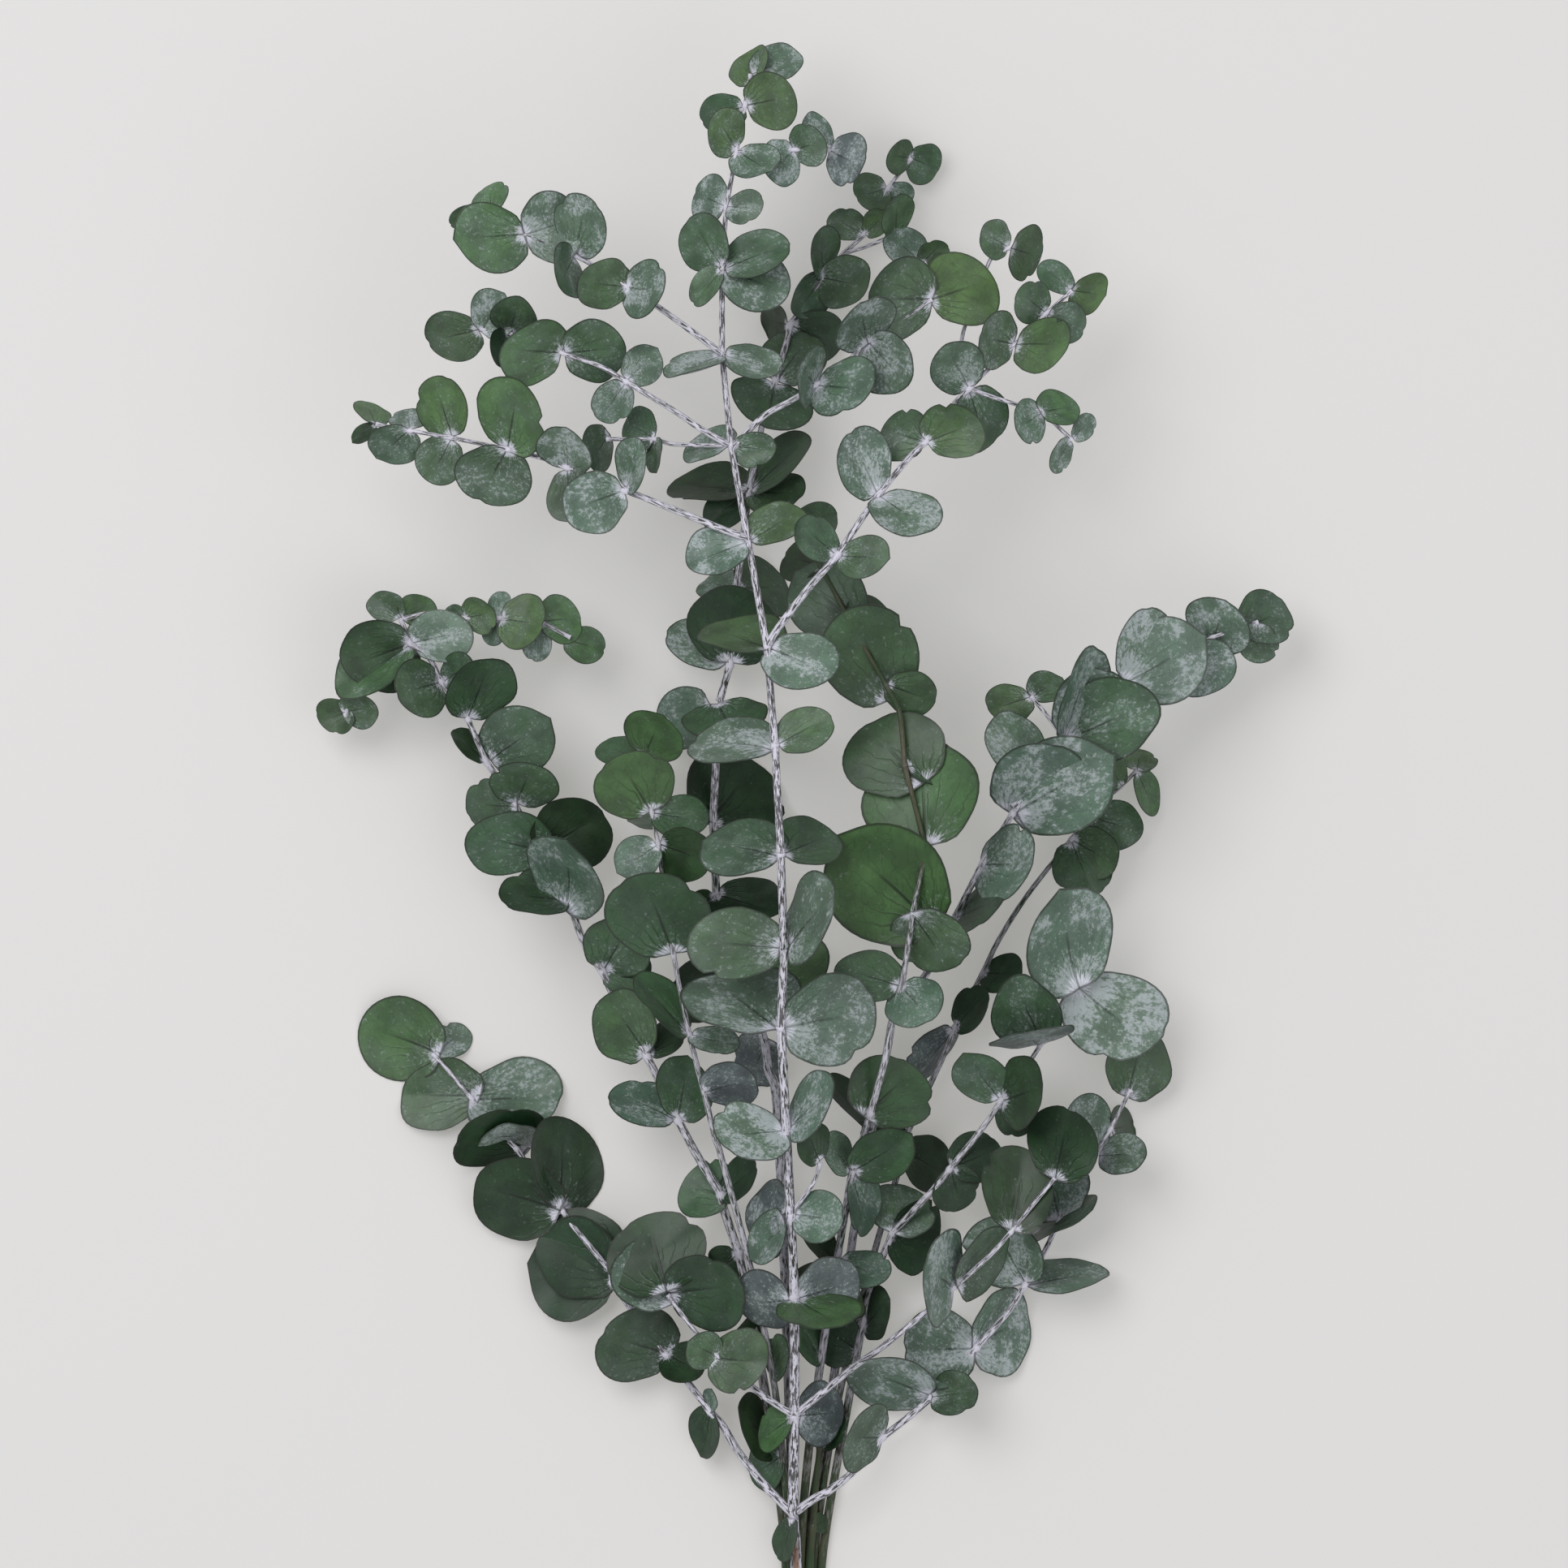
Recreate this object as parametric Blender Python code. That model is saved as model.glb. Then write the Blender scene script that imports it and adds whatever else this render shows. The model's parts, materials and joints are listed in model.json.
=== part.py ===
"""A bunch of cut, round-leaved eucalyptus stems, lying on a flat surface.

Metres, +Z up. The stems run along Y, with their cut ends at -Y. Each cut stem, with its
side shoots and leaves, is one solid.
"""
import math

import bmesh
import bpy
import numpy as np
from mathutils import Vector

# Driving dimensions
PICTURE_UNIT = 0.000373        # one unit of the layout below, so the bunch is 0.75 m long
LAYER = 0.001                  # one unit of height in the layout
MIDDLE_ACROSS = 992.67         # the layout point that stands at X = 0
MIDDLE_ALONG = 1064.79         # the layout point that stands at Y = 0
LEAF_THICKNESS = 0.0007
LEAF_CLEARANCE = 0.0022        # least gap between leaves of two stems, centre to centre
OWN_CLEARANCE = 0.0013         # the same between leaves of one stem, where they are free to
STEM_CLEARANCE = 0.0012        # least gap between a leaf and a stem that it passes
SOFT_ARM = 0.003               # keeps a point near the foot from turning its leaf too far
SHINGLE_TILT = 0.2             # how far leaves lean, so that each lies over the one behind
NEARLY_FLAT = 0.85             # leaves seen steeper than this don't lean
COVERS_STEM = 0.22             # share of a leaf over its stem that makes it arch over it
BARE_SHOOT = ("front_stem", 0) # the shoot that shows in front of all its leaves
TOP_ATTACHMENT = 0.85          # where an arched leaf's foot sits, as a share of the radius
ARCH_TILT = 0.22               # how steeply such a leaf rises from its stem
ROOT_REACH = 0.006             # nearer its foot than this, a leaf may touch its stem
STRAIGHT_ENOUGH = 0.001        # a bend of a stem that is left out
SIBLING_FEET = 0.005           # leaves of one pair have their feet nearer than this
THINNEST_SHOOT = 0.00095
STEM_SIDES = 4
SHOOT_SIDES = 3
SLIM_SHOOT = 1.75              # a shoot no thicker than this at its foot has fewer sides
SMALL_LEAF = 0.0122            # half the width of a leaf that needs fewer points
SLENDER_LEAF = 0.78            # width to length of a leaf that is seen from its edge
CLASPS = 0.90                  # how near its rim a leaf's foot is, at the least
SIDE_ATTACHMENT = 0.8          # where a leaf's foot sits, as a share of its stem's radius
LIES_FLAT = 0.0025             # a leaf's point nearer the surface than this lies on it
ROOT_DEPTH = 0.0011            # how far the foot reaches back into the stem

# The layout. A shoot is (radius at its foot, radius at its tip, rows), in millimetres.
# A row is (across, along, height, leaves). Across and along are in picture units, along
# falls towards the tips, and height is in millimetres over the surface.
# A leaf is (left, top, right, bottom, kind) and the box that it fills as seen from above.
# Kinds: d dark, m middle green, g bright green, s silvery, p the underside seen.
FRONT_STEM = [
    (2.75, 0.9, [
        (981, 2075, 10.4),
        (981, 1932, 10.4),
        (977, 1872, 17, (952, 1877, 986, 1932, "d")),
        (979, 1748, 29, (927, 1737, 971, 1797, "g"), (988, 1709, 1046, 1792, "p")),
        (979, 1601, 47, (925, 1560, 975, 1650, "p"), (985, 1550, 1063, 1630, "p"),
         (952, 1598, 1059, 1632, "g")),
        (974, 1496, 57, (911, 1453, 967, 1552, "p"), (984, 1466, 1043, 1533, "s"),
         (915, 1500, 976, 1563, "s")),
        (969, 1392, 68, (880, 1358, 971, 1433, "s"), (970, 1311, 1034, 1403, "s")),
        (962, 1266, 83, (842, 1197, 991, 1273, "s"), (971, 1197, 1090, 1315, "s")),
        (966, 1167, 92, (836, 1123, 952, 1203, "m"), (949, 1069, 1063, 1172, "s")),
        (962, 1052, 100, (860, 1020, 968, 1069, "m"), (969, 1009, 1064, 1055, "m")),
        (955, 919, 106, (847, 885, 957, 944, "s"), (954, 872, 1028, 928, "g")),
        (945, 798, 108, (858, 768, 969, 808, "g"), (940, 782, 1034, 846, "s")),
        (922, 669, 106, (843, 654, 923, 712, "s"), (920, 622, 995, 674, "g")),
        (901, 552, 102, (836, 526, 904, 577, "s"), (903, 533, 958, 578, "m")),
        (890, 439, 96, (814, 436, 889, 477, "s"), (892, 428, 964, 474, "s")),
        (890, 334, 90, (836, 266, 901, 340, "m"), (890, 310, 975, 388, "s"),
         (890, 298, 976, 338, "m"), (852, 330, 892, 384, "g")),
        (895, 258, 86, (851, 216, 896, 279, "s"), (895, 239, 939, 278, "s")),
        (908, 188, 82, (870, 129, 916, 194, "g"), (900, 186, 968, 226, "s")),
        (918, 133, 79, (918, 91, 981, 165, "g"), (863, 120, 919, 166, "m")),
        (925, 94, 77, (900, 59, 950, 108, "g"), (925, 57, 991, 103, "s")),
    ]),
    (1.1, 0.8, [
        (908, 189, 82), (946, 189, 81),
        (979, 187, 80, (945, 172, 983, 232, "s"), (972, 155, 1020, 208, "m")),
        (1023, 188, 78, (988, 142, 1025, 190, "s"), (1019, 165, 1070, 232, "p")),
    ]),
    (1.5, 0.8, [
        (890, 439, 96), (848, 408, 97), (809, 380, 98),
        (774, 358, 98, (712, 328, 781, 384, "m"), (771, 325, 822, 398, "s")),
        (734, 332, 98),
        (710, 319, 98, (697, 239, 739, 323, "s"), (654, 317, 734, 376, "m")),
        (649, 293, 97, (563, 253, 651, 342, "g"), (645, 242, 691, 333, "s")),
        (607, 266, 94, (583, 225, 629, 268, "g"), (555, 262, 608, 283, "d")),
    ]),
    (1.5, 0.8, [
        (900, 552, 102), (865, 532, 102), (831, 509, 102),
        (773, 474, 101, (765, 433, 817, 476, "s"), (734, 471, 785, 523, "s")),
        (742, 455, 100),
        (696, 439, 99, (617, 397, 698, 479, "g"), (694, 392, 752, 482, "m")),
        (630, 414, 96, (618, 340, 665, 415, "m"), (601, 413, 640, 470, "d")),
        (594, 409, 95, (525, 386, 596, 449, "m"), (588, 365, 618, 430, "s")),
    ]),
    (1.0, 0.8, [
        (900, 552, 102), (834, 550, 93),
        (807, 543, 89, (772, 501, 809, 560, "m"), (801, 541, 817, 584, "m")),
        (748, 543, 86, (724, 523, 756, 583, "d")),
    ]),
    (1.7, 0.8, [
        (920, 665, 106), (892, 655, 106), (840, 634, 105), (790, 614, 104),
        (771, 607, 104, (703, 584, 774, 660, "s"), (767, 542, 801, 611, "s")),
        (737, 593, 103),
        (700, 579, 102, (677, 508, 724, 586, "s"), (679, 577, 727, 643, "m")),
        (677, 569, 101),
        (627, 556, 99, (591, 465, 672, 562, "g"), (565, 550, 661, 625, "m")),
        (559, 542, 95, (518, 470, 585, 544, "g"), (517, 540, 573, 602, "m")),
        (507, 533, 92, (484, 477, 525, 534, "s"), (457, 525, 522, 574, "m")),
        (466, 525, 89, (433, 484, 485, 528, "g"), (435, 524, 467, 549, "d")),
    ]),
    (1.5, 0.8, [
        (903, 556, 102), (940, 517, 103), (975, 497, 104),
        (1005, 478, 104, (977, 425, 1009, 505, "s"), (1002, 444, 1087, 515, "s")),
        (1046, 447, 103),
        (1067, 424, 102, (1041, 333, 1079, 432, "s"), (1048, 418, 1148, 489, "s")),
        (1086, 414, 102),
        (1147, 373, 99, (1074, 321, 1153, 424, "m"), (1137, 315, 1231, 406, "g")),
    ]),
    (1.8, 0.8, [
        (945, 798, 108), (960, 774, 108), (995, 728, 108),
        (1031, 687, 107, (1033, 662, 1099, 713, "m"), (977, 635, 1032, 694, "m")),
        (1050, 658, 106),
        (1081, 613, 104, (1031, 526, 1095, 616, "s"), (1067, 611, 1158, 656, "s")),
        (1118, 568, 102),
        (1139, 548, 100, (1080, 508, 1143, 573, "m"), (1133, 502, 1212, 568, "g")),
        (1174, 501, 98),
        (1193, 482, 96, (1146, 407, 1207, 489, "s"), (1170, 479, 1240, 560, "m")),
        (1209, 465, 95),
        (1249, 427, 92, (1194, 387, 1251, 458, "m"), (1248, 392, 1316, 464, "g")),
        (1288, 389, 88, (1249, 346, 1292, 401, "m"), (1288, 375, 1335, 428, "m")),
        (1319, 361, 85, (1276, 323, 1321, 364, "m"), (1317, 336, 1364, 389, "g")),
    ]),
    (1.0, 0.8, [
        (1193, 482, 96), (1232, 495, 92),
        (1283, 510, 87, (1245, 496, 1287, 553, "s"), (1276, 481, 1329, 528, "g")),
        (1319, 543, 83, (1291, 541, 1320, 585, "s"), (1318, 510, 1348, 545, "s")),
    ]),
    (1.0, 0.8, [
        (1193, 482, 96), (1184, 421, 86), (1219, 323, 78),
        (1243, 307, 76, (1208, 270, 1243, 321, "m"), (1243, 277, 1290, 348, "m")),
    ]),
    (2.0, 0.9, [
        (977, 1872, 17), (957, 1852, 17), (935, 1828, 17), (908, 1793, 15), (891, 1764, 16),
        (874, 1744, 16, (851, 1740, 890, 1802, "d"), (866, 1716, 884, 1745, "s")),
        (850, 1713, 15.5),
        (818, 1673, 15, (732, 1615, 834, 1709, "d"), (815, 1659, 870, 1712, "d")),
        (773, 1614, 15),
        (754, 1575, 13, (685, 1506, 760, 1636, "d"), (676, 1506, 775, 1612, "d")),
        (709, 1521, 11.5),
        (689, 1495, 10, (638, 1382, 750, 1500, "d"), (584, 1433, 692, 1531, "d")),
        (634, 1420, 9, (588, 1367, 663, 1459, "s"), (554, 1361, 674, 1451, "d")),
        (600, 1385, 8),
        (577, 1356, 7.5, (490, 1323, 594, 1388, "m"), (567, 1325, 687, 1389, "s")),
        (551, 1325, 7),
        (529, 1301, 6.5, (449, 1239, 550, 1335, "g"), (527, 1266, 580, 1303, "s")),
    ]),
    (1.7, 0.9, [
        (979, 1748, 29), (946, 1727, 32), (913, 1701, 33),
        (886, 1675, 35, (846, 1641, 889, 1692, "m"), (872, 1638, 945, 1716, "m")),
        (855, 1642, 37),
        (822, 1597, 40, (754, 1533, 867, 1617, "s"), (749, 1502, 872, 1600, "d"),
         (820, 1532, 912, 1645, "d")),
    ]),
    (2.0, 0.9, [
        (981, 1869, 17), (1004, 1852, 20), (1021, 1843, 21), (1048, 1822, 21),
        (1087, 1777, 20, (1035, 1731, 1092, 1820, "m")),
        (1111, 1759, 18),
        (1150, 1727, 19, (1057, 1657, 1153, 1761, "s"), (1148, 1709, 1222, 1733, "m")),
        (1205, 1665, 21, (1113, 1616, 1208, 1720, "s"), (1197, 1593, 1263, 1709, "s")),
        (1245, 1619, 22),
        (1265, 1587, 22, (1184, 1510, 1298, 1589, "s"), (1264, 1558, 1370, 1597, "s")),
        (1287, 1550, 22),
        (1307, 1508, 22, (1244, 1441, 1350, 1511, "s"), (1257, 1499, 1369, 1517, "m")),
        (1334, 1459, 22),
        (1353, 1426, 22, (1353, 1408, 1427, 1440, "s"), (1323, 1351, 1362, 1428, "s")),
        (1371, 1394, 22, (1371, 1370, 1440, 1410, "d")),
        (1396, 1345, 21, (1356, 1265, 1447, 1363, "m")),
    ]),
    (1.7, 0.9, [
        (979, 1748, 29), (1015, 1718, 33), (1057, 1684, 33), (1087, 1663, 36),
        (1141, 1619, 41),
        (1177, 1587, 44, (1141, 1514, 1182, 1638, "s"), (1170, 1502, 1245, 1611, "m")),
        (1222, 1546, 48),
        (1247, 1518, 50, (1221, 1413, 1288, 1522, "d")),
        (1300, 1452, 54, (1275, 1355, 1346, 1461, "d")),
    ]),
    (1.1, 0.8, [
        (974, 1496, 57), (1001, 1460, 61),
        (1011, 1432, 66, (985, 1380, 1016, 1436, "d")),
    ]),
]
BACK_STEM = [
    (2.4, 0.9, [
        (980, 2060, 2.5), (980, 1932, 2.5), (973, 1750, 4.5), (966, 1550, 9),
        (957, 1362, 15), (947, 1322, 16), (943, 1290, 17, (900, 1275, 968, 1345, "p")),
        (915, 1190, 19, (915, 1150, 1030, 1240, "g"), (820, 1180, 918, 1262, "d")),
        (882, 1102, 21, (870, 1090, 960, 1135, "d"), (845, 1098, 884, 1150, "d")),
        (878, 1012, 22, (837, 941, 971, 1024, "d"), (772, 989, 880, 1029, "m")),
        (885, 867, 24, (841, 862, 947, 911, "m"), (787, 858, 888, 920, "s")),
        (899, 818, 24, (819, 761, 901, 819, "s"), (843, 743, 958, 820, "d")),
        (904, 750, 24),
        (907, 723, 24, (851, 706, 908, 730, "s"), (906, 686, 995, 756, "m")),
        (923, 602, 24, (820, 571, 925, 621, "d"), (921, 579, 993, 632, "m"),
         (866, 597, 925, 654, "d"), (921, 530, 1001, 604, "m")),
        (928, 578, 24), (939, 520, 23),
        (955, 466, 22, (930, 418, 1019, 468, "m"), (898, 464, 1000, 534, "m")),
        (970, 415, 21),
        (973, 397, 20, (909, 367, 974, 417, "d"), (971, 379, 1041, 441, "d")),
        (988, 376, 20),
        (1014, 337, 19, (973, 330, 1027, 384, "m"), (1004, 309, 1075, 373, "m"),
         (993, 274, 1033, 339, "m")),
        (1040, 308, 18),
        (1066, 284, 18, (1016, 253, 1068, 291, "m"), (1064, 251, 1101, 286, "g")),
        (1083, 251, 17),
        (1096, 225, 16, (1051, 207, 1097, 258, "m"), (1095, 218, 1127, 251, "s")),
        (1124, 189, 15, (1093, 166, 1125, 210, "m"), (1118, 170, 1160, 223, "m")),
    ]),
    (1.0, 0.8, [
        (1040, 308, 18), (1072, 298, 22),
        (1105, 285, 26, (1089, 233, 1121, 287, "g")),
        (1136, 321, 30, (1093, 280, 1148, 332, "s"), (1132, 294, 1172, 323, "m")),
    ]),
]
LEFT_ARCHING_STEM = [
    (2.3, 0.9, [
        (968.6, 2050, 2.5), (968.6, 1932, 2.5), (952, 1780, 8), (926, 1630, 19),
        (910, 1548, 25, (868, 1536, 912, 1590, "d")),
        (892, 1494, 29),
        (888, 1474, 30, (838, 1434, 904, 1509, "m")),
        (858, 1425, 33),
        (835, 1382, 35, (749, 1337, 837, 1387, "s"), (805, 1303, 878, 1384, "m")),
        (806, 1322, 36),
        (796, 1302, 36, (739, 1213, 806, 1319, "m"),
         (795, 1256, 848, 1304, "d")),
        (755, 1227, 36),
        (742, 1199, 36, (722, 1115, 800, 1202, "m"),
         (741, 1179, 800, 1219, "m")),
        (721, 1169, 36),
        (699, 1109, 36, (672, 992, 728, 1121, "s"), (607, 1078, 705, 1137, "d")),
        (681, 1081, 36),
        (664, 1050, 36, (574, 1004, 677, 1079, "m"), (651, 982, 758, 1070, "d")),
        (634, 992, 36, (567, 969, 643, 1016, "m"), (607, 926, 692, 997, "m")),
        (605, 949, 36),
        (597, 938, 36, (554, 896, 599, 939, "d"), (582, 881, 691, 944, "m")),
        (575, 886, 36, (547, 808, 641, 888, "m")),
        (543, 840, 36, (476, 810, 547, 882, "m"), (543, 803, 600, 841, "m")),
        (525, 807, 35),
        (503, 792, 34, (413, 758, 514, 852, "m"), (501, 758, 584, 808, "s"),
         (412, 790, 505, 859, "g")),
        (492, 762, 34, (449, 727, 498, 765, "m"), (490, 734, 543, 763, "g")),
        (528, 755, 35),
        (571, 761, 37, (544, 747, 573, 763, "m"), (568, 733, 609, 781, "g")),
        (614, 761, 38, (613, 729, 664, 802, "g"), (603, 728, 624, 763, "s"),
         (597, 759, 616, 796, "s")),
        (665, 765, 39, (661, 732, 713, 792, "g"), (649, 763, 669, 814, "s")),
        (702, 785, 40, (691, 768, 738, 814, "g")),
    ]),
    (1.0, 0.8, [
        (503, 792, 34), (462, 826, 30), (433, 859, 27),
        (423, 877, 25, (385, 859, 434, 904, "m"), (416, 853, 465, 897, "m")),
    ]),
]
LEFT_INNER_STEM = [
    (1.7, 0.9, [
        (973.9, 2040, 6.0), (973.9, 1932, 6.0), (958, 1740, 18), (928, 1580, 34),
        (889, 1428, 48),
        (881, 1403, 49), (867, 1345, 51),
        (858, 1311, 52),
        (849, 1274, 56, (849, 1266, 912, 1299, "s"), (778, 1197, 850, 1276, "m")),
        (840, 1230, 58),
        (830, 1177, 60, (744, 1076, 877, 1177, "m")),
        (820, 1110, 60),
        (811, 1040, 60, (758, 1032, 813, 1084, "s"), (806, 1016, 890, 1086, "d")),
        (803, 1001, 60, (732, 936, 834, 1006, "g"), (803, 985, 874, 1030, "m")),
        (791, 938, 60, (726, 909, 793, 939, "m"), (772, 864, 840, 943, "g")),
    ]),
]
RIGHT_CENTRE_STEM = [
    (2.1, 0.9, [
        (986.7, 2065, 6.65), (986.7, 1932, 6.65), (996, 1800, 12), (1015, 1660, 17),
        (1032, 1554, 26, (1010, 1552, 1075, 1640, "g"), (1028, 1548, 1098, 1586, "s")),
        (1050, 1446, 44, (1040, 1444, 1082, 1527, "s"), (1048, 1385, 1118, 1469, "m"),
         (1011, 1392, 1052, 1448, "s")),
        (1063, 1406, 49),
        (1073, 1371, 54, (1039, 1312, 1150, 1388, "m")),
        (1091, 1304, 60), (1099, 1258, 63),
        (1111, 1215, 66, (1028, 1180, 1113, 1226, "m"), (1091, 1207, 1168, 1261, "s")),
        (1125, 1125, 70, (1032, 1035, 1175, 1177, "g"), (1092, 1113, 1200, 1195, "m")),
        (1140, 1044, 74, (1064, 941, 1212, 1047, "g")),
        (1115, 945, 74, (1037, 879, 1163, 981, "m"), (1113, 921, 1196, 959, "m")),
        (1108, 879, 73),
        (1091, 844, 72, (1026, 761, 1133, 879, "m"), (1089, 825, 1146, 882, "m")),
        (1046, 764, 66, (977, 702, 1071, 790, "m"), (1044, 740, 1118, 782, "m")),
        (1010, 696, 60, (940, 670, 1012, 710, "d")),
        (985, 645, 56, (977, 613, 1036, 667, "m")),
    ]),
]
RIGHT_ARCHING_STEM = [
    (2.3, 0.9, [
        (992.2, 2070, 2.4), (992.2, 1932, 2.4), (1012, 1800, 2.6), (1030, 1690, 5), (1056, 1500, 13),
        (1093, 1301, 24), (1104, 1252, 27), (1142, 1201, 32),
        (1177, 1132, 37, (1172, 1078, 1262, 1149, "d")),
        (1212, 1063, 42, (1200, 1033, 1317, 1099, "s")),
        (1248, 1003, 45, (1219, 919, 1341, 1031, "s"), (1243, 915, 1389, 1010, "s")),
        (1283, 955, 46, (1216, 876, 1292, 957, "s")),
        (1313, 911, 47, (1296, 829, 1400, 923, "s"), (1311, 851, 1442, 917, "m"),
         (1311, 789, 1355, 913, "s")),
        (1390, 842, 47, (1376, 770, 1480, 870, "s"), (1388, 749, 1433, 844, "s")),
        (1444, 812, 46, (1440, 786, 1525, 857, "s")),
        (1495, 785, 45, (1457, 738, 1539, 811, "s")),
        (1552, 766, 43, (1527, 728, 1594, 796, "m"), (1527, 764, 1576, 819, "m")),
    ]),
    (1.0, 0.8, [
        (1313, 911, 47), (1290, 880, 42),
        (1272, 858, 38, (1214, 844, 1274, 888, "g"), (1267, 826, 1322, 862, "g")),
    ]),
]
RIGHT_SLIM_STEM = [
    (1.7, 0.9, [
        (1003.7, 2045, 1.9), (1003.7, 1932, 1.9), (1030, 1750, 5), (1075, 1560, 10),
        (1116, 1421, 14, (1060, 1380, 1120, 1425, "d")),
        (1119, 1400, 14), (1160, 1312, 16),
        (1178, 1268, 16, (1118, 1266, 1180, 1340, "p"), (1176, 1212, 1224, 1272, "d")),
        (1213, 1200, 17, (1211, 1176, 1262, 1226, "d")),
        (1234, 1157, 17), (1268, 1104, 17),
        (1322, 1035, 18, (1320, 1019, 1387, 1086, "m"), (1306, 1033, 1366, 1109, "m")),
        (1345, 1006, 18, (1343, 988, 1406, 1043, "m"), (1310, 960, 1347, 1010, "m")),
        (1364, 985, 18),
        (1383, 970, 17, (1360, 925, 1390, 972, "g")),
        (1404, 949, 16, (1384, 917, 1430, 951, "g"), (1400, 947, 1433, 1006, "g")),
    ]),
]
RIGHT_OUTER_STEM = [
    (2.1, 0.9, [
        (1013.3, 2055, 2.2), (1013.3, 1932, 2.2), (1045, 1740, 7.5), (1072, 1600, 17),
        (1100, 1523, 26, (1070, 1462, 1153, 1527, "m"), (1095, 1480, 1160, 1574, "d")),
        (1152, 1467, 31),
        (1172, 1442, 33, (1170, 1396, 1237, 1462, "d")),
        (1212, 1391, 37),
        (1234, 1358, 39, (1173, 1298, 1248, 1359, "m"), (1232, 1307, 1347, 1364, "d"),
         (1228, 1352, 1280, 1407, "d")),
        (1262, 1321, 41),
        (1284, 1287, 43, (1219, 1176, 1305, 1289, "m"), (1248, 1282, 1366, 1317, "s")),
        (1303, 1252, 44),
        (1326, 1214, 45, (1267, 1089, 1364, 1223, "s"), (1303, 1212, 1440, 1290, "s")),
    ]),
]
SHORT_GREEN_STEM = [
    (2.2, 1.3, [
        (998.3, 2035, 6.7), (998.3, 1932, 6.7),
        (1002, 1891, 8.0, (1001, 1872, 1020, 1899, "d")),
        (1005, 1845, 9.2),
        (1010, 1790, 10.5, (1006, 1738, 1042, 1794, "d")),
    ]),
]
STEMS = {
    "front_stem": FRONT_STEM,
    "back_stem": BACK_STEM,
    "left_arching_stem": LEFT_ARCHING_STEM,
    "left_inner_stem": LEFT_INNER_STEM,
    "right_centre_stem": RIGHT_CENTRE_STEM,
    "right_arching_stem": RIGHT_ARCHING_STEM,
    "right_slim_stem": RIGHT_SLIM_STEM,
    "right_outer_stem": RIGHT_OUTER_STEM,
    "short_green_stem": SHORT_GREEN_STEM,
}


def place(across, along, height):
    """A layout point in metres."""
    return np.array([(across - MIDDLE_ACROSS) * PICTURE_UNIT,
                     (MIDDLE_ALONG - along) * PICTURE_UNIT,
                     height * LAYER])


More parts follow.
